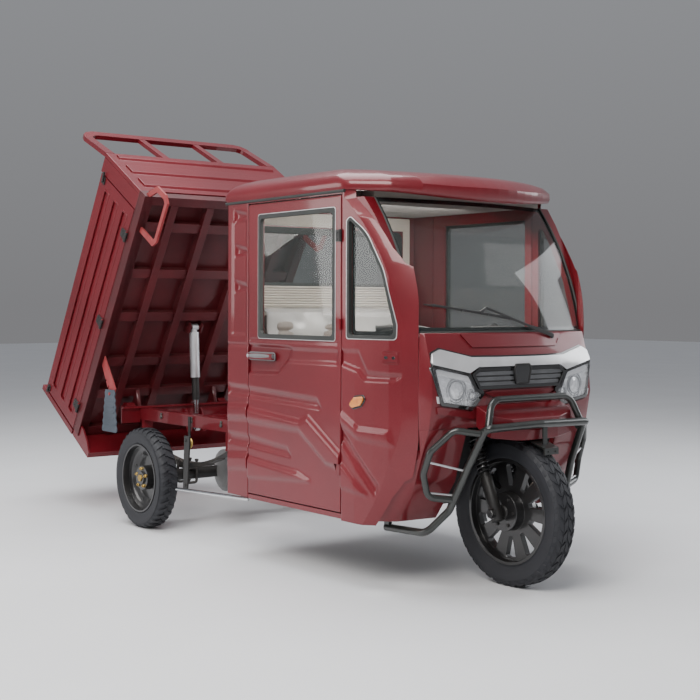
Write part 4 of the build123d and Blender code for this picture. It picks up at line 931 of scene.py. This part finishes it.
piece("badge_blank", Mesh().add(*patch(fillet_poly(BADGE, 8, 4), 2, 16)), "gloss_black", "chassis", bevel=3, seg=3, angle=45)
o, i = fillet_poly(offset_poly(BADGE, 3), 10, 5), fillet_poly(offset_poly(BADGE, -4), 6, 5)
k = len(o)
V = [(fx(y, z) + w, y, z) for w in (10, 18) for y, z in o] + [(fx(y, z) + w, y, z) for w in (10, 18) for y, z in i]
F = []
for q in range(k):
    r_ = (q + 1) % k
    F += [(q, r_, k + r_, k + q), (2 * k + q, 3 * k + q, 3 * k + r_, 2 * k + r_), (k + q, k + r_, 3 * k + r_, 3 * k + q), (q, 2 * k + q, 2 * k + r_, r_)]
piece("badge_rim", Mesh().add(V, F), "black_steel", "chassis", bevel=1.2)

# raised faces of the front: centre of the cowl, lip under the grille, chin under each lamp
cf = Mesh()
cf.add(*patch([(-284, 1023), (-241, 972), (241, 972), (284, 1023)], -2, 6))
cf.add(*patch([(-198, 792), (-160, 800), (160, 800), (198, 792), (122, 762), (-122, 762)], -2, 9))
for s in (-1, 1):
    cf.add(*patch([(s * 432, 742), (s * 412, 744), (s * 261, 720), (s * 208, 782), (s * 186, 776), (s * 192, 706), (s * 226, 688), (s * 424, 716)], -2, 8))
piece("front_raised_faces", cf, "red_paint", "chassis", bevel=5, seg=3, angle=30)

# ------------------------------------------------------------------ tyres and rims
def tyre_mesh(r, r_in, w, x, y, z, lug, count, style):
    h = w / 2
    rb = r - lug
    prof = [(r_in - 4, -h * 0.66), (r_in + 2, -h * 0.80), (r_in + 8, -h * 0.86), (r_in + 16, -h * 0.92), (r_in + 22, -h * 0.91), (r - 0.62 * (r - r_in), -h * 0.985), (r - 0.42 * (r - r_in), -h),
            (r - 0.30 * (r - r_in), -h * 0.985), (rb - 20, -h * 0.94), (rb - 6, -h * 0.80), (rb - 1.5, -h * 0.6), (rb, -h * 0.3)]
    prof = prof + [(a, -b) for a, b in reversed(prof)] + [(r_in - 4, 0)]
    me = Mesh()
    me.lathe(prof, (x, y, z), (0, 1, 0), 96)

    def surf(wd):
        return float(np.interp(abs(wd), [0, h * 0.3, h * 0.6, h * 0.80, h * 0.94, h * 0.985], [rb, rb, rb - 1.5, rb - 6, rb - 20, rb - 34]))

    def block(th0, th1, w0, w1, skew=0.0, hgt=lug, na=3, nw=3):
        """Tread block between two angles and two widths; skew turns its sides."""
        V, F = [], []
        for lev in (-3.0, hgt):
            for a in range(na + 1):
                for b in range(nw + 1):
                    wd = w0 + (w1 - w0) * b / nw
                    th = th0 + (th1 - th0) * a / na + skew * (b / nw)
                    rr = surf(wd) + lev - (1.2 if lev > 0 and abs(wd) > h * 0.7 else 0)
                    V.append((x + rr * math.cos(th), y + wd, z + rr * math.sin(th)))
        n = (na + 1) * (nw + 1)
        for a in range(na):
            for b in range(nw):
                q = a * (nw + 1) + b
                F += [(q, q + 1, q + nw + 2, q + nw + 1), (n + q, n + q + nw + 1, n + q + nw + 2, n + q + 1)]
        for b in range(nw):
            F += [(b, n + b, n + b + 1, b + 1), (na * (nw + 1) + b, na * (nw + 1) + b + 1, n + na * (nw + 1) + b + 1, n + na * (nw + 1) + b)]
        for a in range(na):
            q, e = a * (nw + 1), a * (nw + 1) + nw
            F += [(q, q + nw + 1, n + q + nw + 1, n + q), (e, n + e, n + e + nw + 1, e + nw + 1)]
        me.add(V, F)

    d = 2 * math.pi / count
    for i in range(count):
        t = i * d
        if style == "block":
            block(t, t + d * 0.66, -h * 0.40, -h * 0.03, d * 0.55, nw=4)
            block(t + d * 0.5, t + d * 1.16, h * 0.03, h * 0.40, -d * 0.55, nw=4)
            block(t + d * 0.55, t + d * 1.20, -h * 0.80, -h * 0.45, -d * 0.5, nw=4)
            block(t + d * 1.05, t + d * 1.70, h * 0.45, h * 0.80, d * 0.5, nw=4)
            block(t, t + d * 0.55, -h * 0.975, -h * 0.85, d * 0.15)
            block(t + d * 0.5, t + d * 1.05, h * 0.85, h * 0.975, -d * 0.15)
        else:
            block(t, t + d * 0.42, -h * 0.97, -h * 0.02, d * 0.55, nw=6)
            block(t + d * 0.5 + d * 0.55, t + d * 0.92 + d * 0.55, h * 0.02, h * 0.97, -d * 0.55, nw=6)
            block(t + d * 0.1, t + d * 0.55, -h * 0.20, h * 0.20, 0.0, hgt=lug * 0.7)
    return me



RA = -2081.0
piece("front_tyre_body", tyre_mesh(302, 216, 110, 0, 0, 302, 4.5, 40, "block"), "tyre_rubber", "front_wheel", replaces=("front_tyre",), angle=40)
for side, s in (("right", -1), ("left", 1)):
    piece(f"rear_tyre_body_{side}", tyre_mesh(254, 172, 104, RA, s * 542, 254, 6.5, 36, "lug"), "tyre_rubber", f"rear_wheel_{side}", replaces=(f"rear_tyre_{side}",), angle=40)
    # wheel nuts and hub cap
    w = Mesh()
    yo = s * 542 - s * 24
    yh = s * 568
    for k in range(5):
        a = 2 * math.pi * k / 5 + 0.3
        cx_, cz_ = RA + 47 * math.cos(a), 254 + 47 * math.sin(a)
        w.cyl((cx_, yh - s * 1, cz_), (cx_, yh + s * 14, cz_), 4.2, 16)
        w.nut((cx_, yh - s * 0.5, cz_), (0, s, 0), 9.5, 9)
    w.nut((RA, yo + s * 56, 254), (0, s, 0), 19, 9)
    piece(f"rear_wheel_nuts_{side}", w, "brass_horn", f"rear_wheel_{side}", bevel=0.8)
    # painted shade: gloss-black domes stand in for the holes in the rim disc, whose insides lie in shade
    r = Mesh()
    for k in range(8):
        a = 2 * math.pi * (k + 0.5) / 8
        c, d_ = math.cos(a), math.sin(a)
        r.dome((RA + 126 * c, yo + s * 23, 254 + 126 * d_), (0, s, 0), 9, 1.2, 20, 3, 1)
    piece(f"rear_rim_hole_shade_domes_{side}", r, "gloss_black", f"rear_wheel_{side}")

# front wheel: hub cap and bolts
w = Mesh()
for s in (-1, 1):
    w.lathe([(10.5, 58), (30, 58), (30, 62), (24, 66), (10.5, 66)], (0, 0, 302), (0, s, 0), 40)
    for k in range(6):
        a = 2 * math.pi * k / 6
        w.nut((58 * math.cos(a), s * 58, 302 + 58 * math.sin(a)), (0, s, 0), 7.5, 6)
piece("front_hub_bolts", w, "black_steel", "front_wheel", bevel=0.6)
w = Mesh()
for s in (-1, 1):
    w.nut((0, s * 121, 302), (0, s, 0), 19, 14)
    w.lathe([(10.2, 120.6), (23, 120.6), (23, 123), (10.2, 123)], (0, 0, 302), (0, s, 0), 32)
    # springs round the lower legs
    helix = []
    for i in range(20 * 9):
        t = i / (20 * 9 - 1)
        a = 2 * math.pi * 9 * t
        cx, cy, cz = on_steer(160 + 150 * t, s * 96)
        helix.append((cx + 26 * math.cos(a) * math.cos(RAKE), cy + 26 * math.sin(a), cz + 26 * math.cos(a) * math.sin(RAKE)))
    w.tube(helix, 4.2, 8)
piece("fork_nuts_and_springs", w, "black_alloy", "steering")

# ------------------------------------------------------------------ seat
def pad(name, prof, y0, y1, plane_body, node_name, cap, seams, res=26):
    """Cushion from a side profile: slightly smaller start shape, remeshed, filled with pressure, then seams pressed in."""
    m = Mesh()
    small = offset_poly(prof, -9)
    m.prism(fillet_poly(small, 20, 5), y0 + 12, y1 - 12)
    ob = piece(name, m, "seat_vinyl", "chassis", replaces=(node_name,))
    me = ob.data
    rem = ob.modifiers.new("re", "REMESH")
    rem.mode = "VOXEL"
    rem.voxel_size = 0.009
    dg = bpy.context.evaluated_depsgraph_get()
    ev = ob.evaluated_get(dg)
    new = bpy.data.meshes.new_from_object(ev)
    ob.modifiers.clear()
    ob.data = new
    if not new.materials:
        new.materials.append(M["seat_vinyl"])
    before = np.zeros(len(new.vertices) * 3)
    new.vertices.foreach_get("co", before)
    before = before.reshape(-1, 3)
    after = before.copy()
    cl = ob.modifiers.new("cloth", "CLOTH")
    st = cl.settings
    st.quality = 5
    st.mass = 0.3
    st.use_pressure = True
    st.uniform_pressure_force = 4.0
    st.effector_weights.gravity = 0.0
    st.tension_stiffness = st.compression_stiffness = 15
    st.bending_stiffness = 0.5
    cl.point_cache.frame_start, cl.point_cache.frame_end = 1, 20
    sc = bpy.context.scene
    for fr in range(1, 21):
        sc.frame_set(fr)
    dg = bpy.context.evaluated_depsgraph_get()
    sim = ob.evaluated_get(dg).to_mesh()
    co = np.zeros(len(sim.vertices) * 3)
    sim.vertices.foreach_get("co", co)
    after = co.reshape(-1, 3)
    ob.modifiers.remove(cl)
    sc.frame_set(1)
    mv = after - before
    ln = np.linalg.norm(mv, axis=1, keepdims=True)
    mv = np.where(ln > cap, mv * (cap / np.maximum(ln, 1e-9)), mv)
    pos = before + mv
    lo = np.array(P(min(p[0] for p in prof), y0, min(p[1] for p in prof)))
    hi = np.array(P(max(p[0] for p in prof), y1, max(p[1] for p in prof)))
    # seams across and lengthways, pressed in after the filling
    nrm = np.zeros(len(new.vertices) * 3)
    new.vertices.foreach_get("normal", nrm)
    nrm = nrm.reshape(-1, 3)
    dip = np.zeros(len(pos))
    for ax, val, wd, dp in seams:
        q = pos[:, ax] if ax != 3 else pos[:, 0] * 0 + pos[:, 2]
        dip = np.maximum(dip, dp * np.exp(-((q - val) / wd) ** 2))
    pos = pos - nrm * dip[:, None]
    pos = np.clip(pos, lo - 0.004, hi + 0.004)
    new.vertices.foreach_set("co", pos.reshape(-1))
    new.update()
    new.shade_smooth()
    sd = ob.modifiers.new("soft", "SUBSURF")
    sd.levels = sd.render_levels = 1
    return ob


pad("seat_pad", [(-1185, 641), (-760, 641), (-760, 735), (-1185, 735)], -455, 455, None, "seat_cushion", 0.022,
    [(1, y / 1000, 0.006, 0.009) for y in (-300, -150, 0, 150, 300)] + [(0, (XF - 800) / 1000, 0.006, 0.007)])
pad("seat_back_pad", [(-1180, 739), (-1085, 739), (-1130, 1112), (-1205, 1118)], -455, 455, None, "seat_back", 0.022,
    [(1, y / 1000, 0.006, 0.009) for y in (-300, -150, 0, 150, 300)] + [(2, 1.02, 0.006, 0.007)])

# clear protective film over the seat back, crinkled
fm = Mesh()
g, f = [], []
nu_, nv_ = 60, 40
rnd = random.Random(11)
ph = [(rnd.uniform(0.01, 0.035), rnd.uniform(-0.05, 0.05), rnd.uniform(0, 6.28), rnd.uniform(0.6, 1.4)) for _ in range(14)]
for i in range(nv_ + 1):
    t = i / nv_
    z = 800 + t * (1128 - 800)
    for j in range(nu_ + 1):
        y = -458 + 916 * j / nu_
        xs = -1096 - 40 * t + 16
        if t > 0.93:
            xs -= (t - 0.93) / 0.07 * 70
        w = sum(a * math.sin(y * k1 * 1.0 + z * k2 + p0) for k1, k2, p0, a in ph)
        g.append((xs + 1.5 * w + 3 * math.sin(y * 0.02), y, z + (3 * math.sin(y * 0.05) if i == 0 else 0)))
for i in range(nv_):
    for j in range(nu_):
        a = i * (nu_ + 1) + j
        f.append((a, a + 1, a + nu_ + 2, a + nu_ + 1))
fm.add(g, f)
film = piece("seat_film", fm, "film", "chassis")
so = film.modifiers.new("thick", "SOLIDIFY")
so.thickness = 0.0008

# ------------------------------------------------------------------ inside of the cab
rp = Mesh()
for k in range(9):
    z = 1119 + k * 12.2
    rp.prism([(-1240, z), (-1231, z + 2), (-1229, z + 6), (-1231, z + 10), (-1240, z + 12)], -470, 470)
piece("rear_ribbed_panel", rp, "liner", "chassis", bevel=1.5)
il = Mesh()
il.box(-1242, -1237, -505, 505, 660, 1117)
il.box(-1242, -1237, -505, 505, 1512, 1576)
for s in (-1, 1):
    il.box(-1242, -1237, s * 462, s * 505, 1231, 1512)
piece("rear_inner_liner", il, "liner", "chassis", bevel=2)
rw = Mesh()
base = [(-440, 1228), (440, 1228), (440, 1492), (-440, 1492)]
for x0, x1 in ((-1272, -1262), (-1246, -1236)):
    o, i = frame_loop(base, 14, -16, 34, 46)
    rw.ring_prism(o, i, x0, x1, plane="yz")
piece("rear_window_rubber", rw, "rubber_seal", "chassis", bevel=2)
hl = Mesh()
for k in range(42):
    x = -1225 + k * 19.6
    hl.prism([(x, 1586), (x + 3, 1582.5), (x + 15, 1582.5), (x + 18, 1586)], -520, 520)
piece("headliner_ribs", hl, "headliner", "chassis", bevel=1)
# instrument pod and screen, bar grips, bar ends and levers
ip = Mesh()
ip.prism([(-183, 1000), (-183, 1026), (-176, 1036), (-112, 1052), (-104, 1046), (-104, 1000)], -128, 128)
piece("instrument_pod", ip, "black_plastic", "chassis", bevel=8, seg=3)
piece("instrument_screen", Mesh().prism([(-187, 1004), (-187, 1022), (-183, 1024), (-183, 1002)], -96, 96), "screen", "chassis", bevel=2)
hb = Mesh()
bx, _, bz = on_steer(782)
for s in (-1, 1):
    a, b = Vector((bx - 150, s * 345, bz + 12)), Vector((bx - 40, s * 230, bz + 22))
    d = (b - a).normalized()
    for k in range(16):
        c = a + d * (2 + k * 6.6)
        hb.lathe([(16.6, -1.6), (18.4, -1.2), (18.4, 1.2), (16.6, 1.6)], tuple(c), tuple(d), 24)
    hb.lathe([(0.01, -3), (19.5, -3), (20.5, 0), (19.5, 3), (0.01, 3)], tuple(a - d * 2), tuple(d), 28)
    lev = smooth_path([tuple(b + Vector((14, 0, 4))), tuple(b - d * 30 + Vector((46, 0, -2))), tuple(a + Vector((40, 0, -4))), tuple(a - d * 6 + Vector((34, 0, -8)))], bend=20)
    hb.tube(lev, 4.6, 10)
    hb.box(0, 0.1, 0, 0.1, 0, 0.1) if False else None
piece("bar_grips_and_levers", hb, "black_plastic", "steering", bevel=0)
# pedals
pm = Mesh()
for y in (-60, 80):
    pm.prism([(-420, 345), (-404, 352), (-380, 405), (-390, 409)], y - 34, y + 34)
    pm.tube([(-392, y, 400), (-362, y, 372)], 6, 12)
piece("foot_pedals", pm, "black_steel", "chassis", bevel=2)

# ------------------------------------------------------------------ wiper
wp = Mesh()
wx = fx(225, 1012)
wp.lathe([(0.01, 0), (14, 0), (14, 9), (10, 13), (0.01, 14)], (wx - 1, 225, 1012), (1, 0, 0.25), 32)
wp.nut((wx + 12, 225, 1015), (1, 0, 0.25), 7, 5)


def over(y, z, o_):
    return (max(ws_x(y, max(z, 1031)), fx(y, min(z, 1028)) if z < 1040 else -999) + o_, y, z)


arm = [over(225, 1013, 15), over(180, 1027, 17), over(110, 1049, 17), over(4, 1082, 17), over(-70, 1107, 15), over(-133, 1128, 12)]
wp.tube(arm[:3], 0, flat=(15, 8, (1, 0, 0)))
wp.tube(arm[2:], 0, flat=(9, 6, (1, 0, 0)))
b0, b1 = Vector((30, 1078)), Vector((-422, 1141))
line = [(*b0.lerp(b1, t),) for t in np.linspace(0, 1, 26)]
wp.tube([over(y, z, 5.5) for y, z in line], 0, flat=(5, 9, (1, 0, 0)))
wp.tube([over(y, z + 2.5, 11) for y, z in line[2:-2]], 0, flat=(8, 4, (1, 0, 0)))
for t in (0.08, 0.34, 0.62, 0.92):
    y, z = b0.lerp(b1, t)
    x = over(y, z, 0)[0]
    wp.box(x + 3, x + 14, y - 8, y + 8, z - 4, z + 7)
y, z = b0.lerp(b1, 0.44)
wp.tube([over(-133, 1128, 12), over(-150, 1118, 14), over(y, z + 4, 12)], 0, flat=(10, 6, (1, 0, 0)))
piece("wiper_arm_and_blade", wp, "black_plastic", "chassis", bevel=1, replaces=("wiper",))

# ------------------------------------------------------------------ bed
hd = Mesh(BD)
for v, hh in ((236, 104), (392, 104), (560, 60)):
    hd.prism([(1408, v), (1418, v + 14), (1418, v + hh - 14), (1408, v + hh)], -500, 500)
    hd.prism([(1386, v), (1376, v + 14), (1376, v + hh - 14), (1386, v + hh)], -498, 498)
piece("headboard_ribs", hd, "red_paint", "bed", bevel=3, seg=2)
for side, s in (("right", -1), ("left", 1)):
    g = Mesh(BD)
    body = f"side_gate_{side}"
    # raised rails between the channels, turned edge at the top
    for v0, v1 in ((248, 318), (366, 436), (484, 554)):
        o, i = fillet_poly([(-40, v0), (1238, v0), (1238, v1), (-40, v1)], 12, 5), fillet_poly([(-30, v0 + 9), (1228, v0 + 9), (1228, v1 - 9), (-30, v1 - 9)], 9, 5)
        g.ring_prism(o, i, s * 544, s * 552.5)
    g.tube([(-95, s * 541, 603), (1293, s * 541, 625)], 9, 12)
    piece(f"gate_beads_{side}", g, "red_paint", body, bevel=2)
    h = Mesh(BD)
    for u in (46.0, 597.0, 1133.0):
        h.prism(fillet_poly([(u - 32, 200), (u + 32, 200), (u + 22, 262), (u - 22, 262)], 6, 4), s * 549, s * 555)
        for k in (-1, 1):
            h.cyl((u + k * 14 - 13, s * 558, 196), (u + k * 14 + 13, s * 558, 196), 8.0, 20)
        for k in (-12, 12):
            h.dome((u + k, s * 555, 244), (0, s, 0), 5, 3, 16, 4, 1)
    piece(f"gate_hinges_{side}", h, "black_steel", body, bevel=0.8)
    l = Mesh(BD)
    l.prism(fillet_poly([(1252, 560), (1292, 566), (1292, 600), (1252, 596)], 6, 4), s * 549, s * 556)
    l.tube([(1262, s * 560, 578), (1320, s * 562, 584)], 6, 12)
    l.prism(fillet_poly([(-92, 556), (-56, 558), (-56, 590), (-92, 588)], 6, 4), s * 549, s * 556)
    l.tube([(-98, s * 560, 572), (-60, s * 560, 573)], 6, 12)
    piece(f"gate_latches_{side}", l, "black_steel", body, bevel=0.8)
    # lips of the edge beams and a flat strip under them
    e = Mesh(BD)
    e.prism([(-95, 188), (1409, 188), (1409, 195), (-95, 195)], s * 546, s * 549.4)
    e.prism([(-95, 125), (1409, 125), (1409, 132), (-95, 132)], s * 500, s * 553)
    piece(f"edge_beam_lips_{side}", e, "dark_red_frame", "bed", bevel=1.2)

# flanges of the bed's rails and cross members, lighter at their edges
fl = Mesh(BD)
for y in (-365.0, -145.0, 145.0, 365.0):
    fl.box(-90, 1361, y - 22, y + 22, 121.5, 125.2)
for u in (-70.0, 180.0, 390.0, 680.0, 950.0, 1230.0):
    for a, b in ((-500, -391), (-339, -171), (-119, 119), (171, 339), (391, 500)):
        fl.box(u - 27, u + 27, a, b, 133.5, 137.2)
piece("bed_frame_flanges", fl, "dark_red_frame", "bed", bevel=1)

# ------------------------------------------------------------------ mudflaps
for side, s in (("right", -1), ("left", 1)):
    top = BD(306, 0, -48)
    cx, cz = top.x * 1000 - XF, top.z * 1000
    pts = [(cx - 50, cz + 22), (cx + 50, cz + 22)]
    for k in range(13):
        t = k / 12
        pts.append((cx + 50 + 28 * t + (5 if k % 2 else -3), cz + 22 - 227 * t))
    for k in range(13):
        t = 1 - k / 12
        pts.append((cx - 50 - 38 * t - (5 if k % 2 else -3), cz + 22 - 227 * t))
    mf = Mesh()
    mf.prism(fillet_poly(pts[:-1], 6, 3), s * 529.8, s * 535.2)
    for k in range(5):
        z = cz - 40 - 32 * k
        mf.prism([(cx - 44 - 4 * k, z), (cx + 44 + 3 * k, z), (cx + 44 + 3 * k, z + 7), (cx - 44 - 4 * k, z + 7)], s * 534, s * 538)
    piece(f"mudflap_sheet_{side}", mf, "mudflap_rubber", f"mudflap_{side}", bevel=1.2, replaces=(f"mudflap_{side}",))

# ------------------------------------------------------------------ chassis details: horn, rods, rungs and bolts
hn = Mesh()
hn.lathe([(0.01, 0), (30, 0), (32, 4), (28, 8), (24, 9), (20, 7), (11, 9), (7, 13), (0.01, 13)], (-1988, -346, 425), (0.25, -1, 0), 48)
piece("horn_disc", hn, "brass_horn", "chassis")
hs = Mesh()
hs.prism([(-1998, 425), (-1978, 425), (-1976, 560), (-2000, 560)], -345.5, -341)
piece("horn_strap", hs, "black_steel", "chassis", bevel=1)
# side rails under the cab: bright rods and dark hangers
ur, uh = Mesh(), Mesh()
for s in (-1, 1):
    ur.tube([(-1124 - 634 * t, s * 548, 262 - 30 * t) for t in np.linspace(0, 1, 12)], 9, 20)
    for x, z in ((-1124, 262), (-1758, 232)):
        ur.dome((x, s * 548, z), (1 if x > -1400 else -1, 0, 0), 9, 2.5, 20, 4, 1)
    uh.prism([(-1700, 243.8), (-1660, 245.6), (-1640, 500), (-1690, 500)], s * 541, s * 549)
    for z in (262, 478):
        uh.nut((-1676, s * 549, z), (0, s, 0), 8, 5)
piece("underrun_bright_rods", ur, "bright_rod", "chassis", replaces=("underrun_rods",))
piece("underrun_hangers", uh, "black_steel", "chassis", bevel=1)
# a short bright rung in each guard, and just above each lower bend a silver rod that is a painted highlight for the
# light on the black tube
gr_ = Mesh()
for s in (-1, 1):
    gr_.cyl((-26, s * 441, 530), (39, s * 302, 491), 4.5, 16)
    # painted highlight: a silver rod laid over the black lower tube where it catches the light, not a real rung
    gr_.cyl((-42, s * 428, 408), (-8, s * 322, 392), 4.5, 16)
piece("guard_rung_and_highlight_rod", gr_, "silver_steel", "chassis")
bt = Mesh()
for x in (-2700, -2620, -2300, -1985, -1700, -1400, -1308):
    for s in (-1, 1):
        bt.nut((x, s * 330, 537), (0, s, 0), 11, 8)
        bt.nut((x, s * 330, 552), (0, s, 0), 8, 6)
for s in (-1, 1):
    for dx in (-34, 34):
        bt.tube(smooth_path([(RA + dx, s * 264, 322), (RA + dx, s * 264, 210), (RA + dx, s * 336, 210), (RA + dx, s * 336, 322)], bend=14), 7, 12)
        for y in (264, 336):
            bt.nut((RA + dx, s * y, 322), (0, 0, 1), 12, 10)
piece("chassis_bolts", bt, "spring_steel", "chassis", bevel=0.6)

# ------------------------------------------------------------------ stage, light, camera
def floor_material():
    m = bpy.data.materials.new("floor_pale")
    m.use_nodes = True
    nt = m.node_tree
    L = nt.links.new
    b = nt.nodes["Principled BSDF"]
    tc = node(nt, "ShaderNodeTexCoord")
    n1 = node(nt, "ShaderNodeTexNoise", i_Scale=1.2, i_Detail=6.0)
    L(tc.outputs["Object"], n1.inputs["Vector"])
    mix = node(nt, "ShaderNodeMix", data_type="RGBA")
    mix.inputs[6].default_value = (0.70, 0.70, 0.71, 1)
    mix.inputs[7].default_value = (0.78, 0.78, 0.79, 1)
    L(n1.outputs["Fac"], mix.inputs[0])
    L(mix.outputs[2], b.inputs["Base Color"])
    b.inputs["Roughness"].default_value = 0.75
    return m


fm_ = bpy.data.meshes.new("floor")
fm_.from_pydata([(-30, -30, 0), (30, -30, 0), (30, 30, 0), (-30, 30, 0)], [], [(0, 1, 2, 3)])
fl_ob = bpy.data.objects.new("floor", fm_)
bpy.context.scene.collection.objects.link(fl_ob)
fm_.materials.append(floor_material())

world = bpy.data.worlds.new("soft")
bpy.context.scene.world = world
world.use_nodes = True
wn = world.node_tree
bg = wn.nodes["Background"]
tcw = wn.nodes.new("ShaderNodeTexCoord")
sxw = wn.nodes.new("ShaderNodeSeparateXYZ")
wn.links.new(tcw.outputs["Generated"], sxw.inputs[0])
rw_ = wn.nodes.new("ShaderNodeValToRGB")
rw_.color_ramp.elements[0].position = 0.0
rw_.color_ramp.elements[0].color = (0.50, 0.50, 0.52, 1)
rw_.color_ramp.elements[1].position = 0.55
rw_.color_ramp.elements[1].color = (0.86, 0.89, 0.95, 1)
wn.links.new(sxw.outputs["Z"], rw_.inputs[0])
wn.links.new(rw_.outputs[0], bg.inputs[0])
bg.inputs[1].default_value = 0.42


def area(name, loc, target, size, size_y, power, col=(1, 1, 1)):
    ld = bpy.data.lights.new(name, "AREA")
    ld.shape = "RECTANGLE"
    ld.size, ld.size_y, ld.energy, ld.color = size, size_y, power, col
    ob = bpy.data.objects.new(name, ld)
    bpy.context.scene.collection.objects.link(ob)
    ob.location = loc
    ob.rotation_euler = (Vector(target) - Vector(loc)).to_track_quat("-Z", "Y").to_euler()
    return ob


area("key_softbox", (3.5, -4.5, 5.0), (0.3, 0, 0.8), 4.0, 3.0, 430, (1.0, 0.98, 0.95))
area("top_softbox", (-0.5, -0.5, 5.5), (0, 0, 0.6), 5.0, 3.5, 330, (0.96, 0.98, 1.0))
area("left_fill", (2.5, 5.0, 2.6), (0.3, 0, 0.8), 3.0, 2.4, 110, (0.95, 0.97, 1.0))
area("side_fill", (-3.0, -5.0, 2.2), (-0.6, 0, 0.8), 3.0, 2.4, 110, (1.0, 0.98, 0.96))

area("cab_glow", (XF / 1000 - 0.60, 0, 1.56), (XF / 1000 - 0.85, 0, 0.9), 0.7, 0.8, 30, (1.0, 0.97, 0.92))

cam_d = bpy.data.cameras.new("photo_camera")
cam = bpy.data.objects.new("photo_camera", cam_d)
bpy.context.scene.collection.objects.link(cam)
r_ = Vector((0.61483288, 0.78865308, 0.00261799)).normalized()
u_ = Vector((-0.00160963, -0.00206469, 0.99999657)).normalized()
b_ = Vector((0.78865578, -0.61483499, 0.0)).normalized()
rot = Matrix((r_, u_, b_)).transposed()
cam.matrix_world = Matrix.Translation(P(3606.116, -3655.759, 1133.778)) @ rot.to_4x4()
cam_d.sensor_width = 36.0
cam_d.lens = 36.0 * 1250.0 / 700.0
cam_d.shift_y = -(350.0 - 306.0) / 700.0
cam_d.clip_end = 200
bpy.context.scene.camera = cam
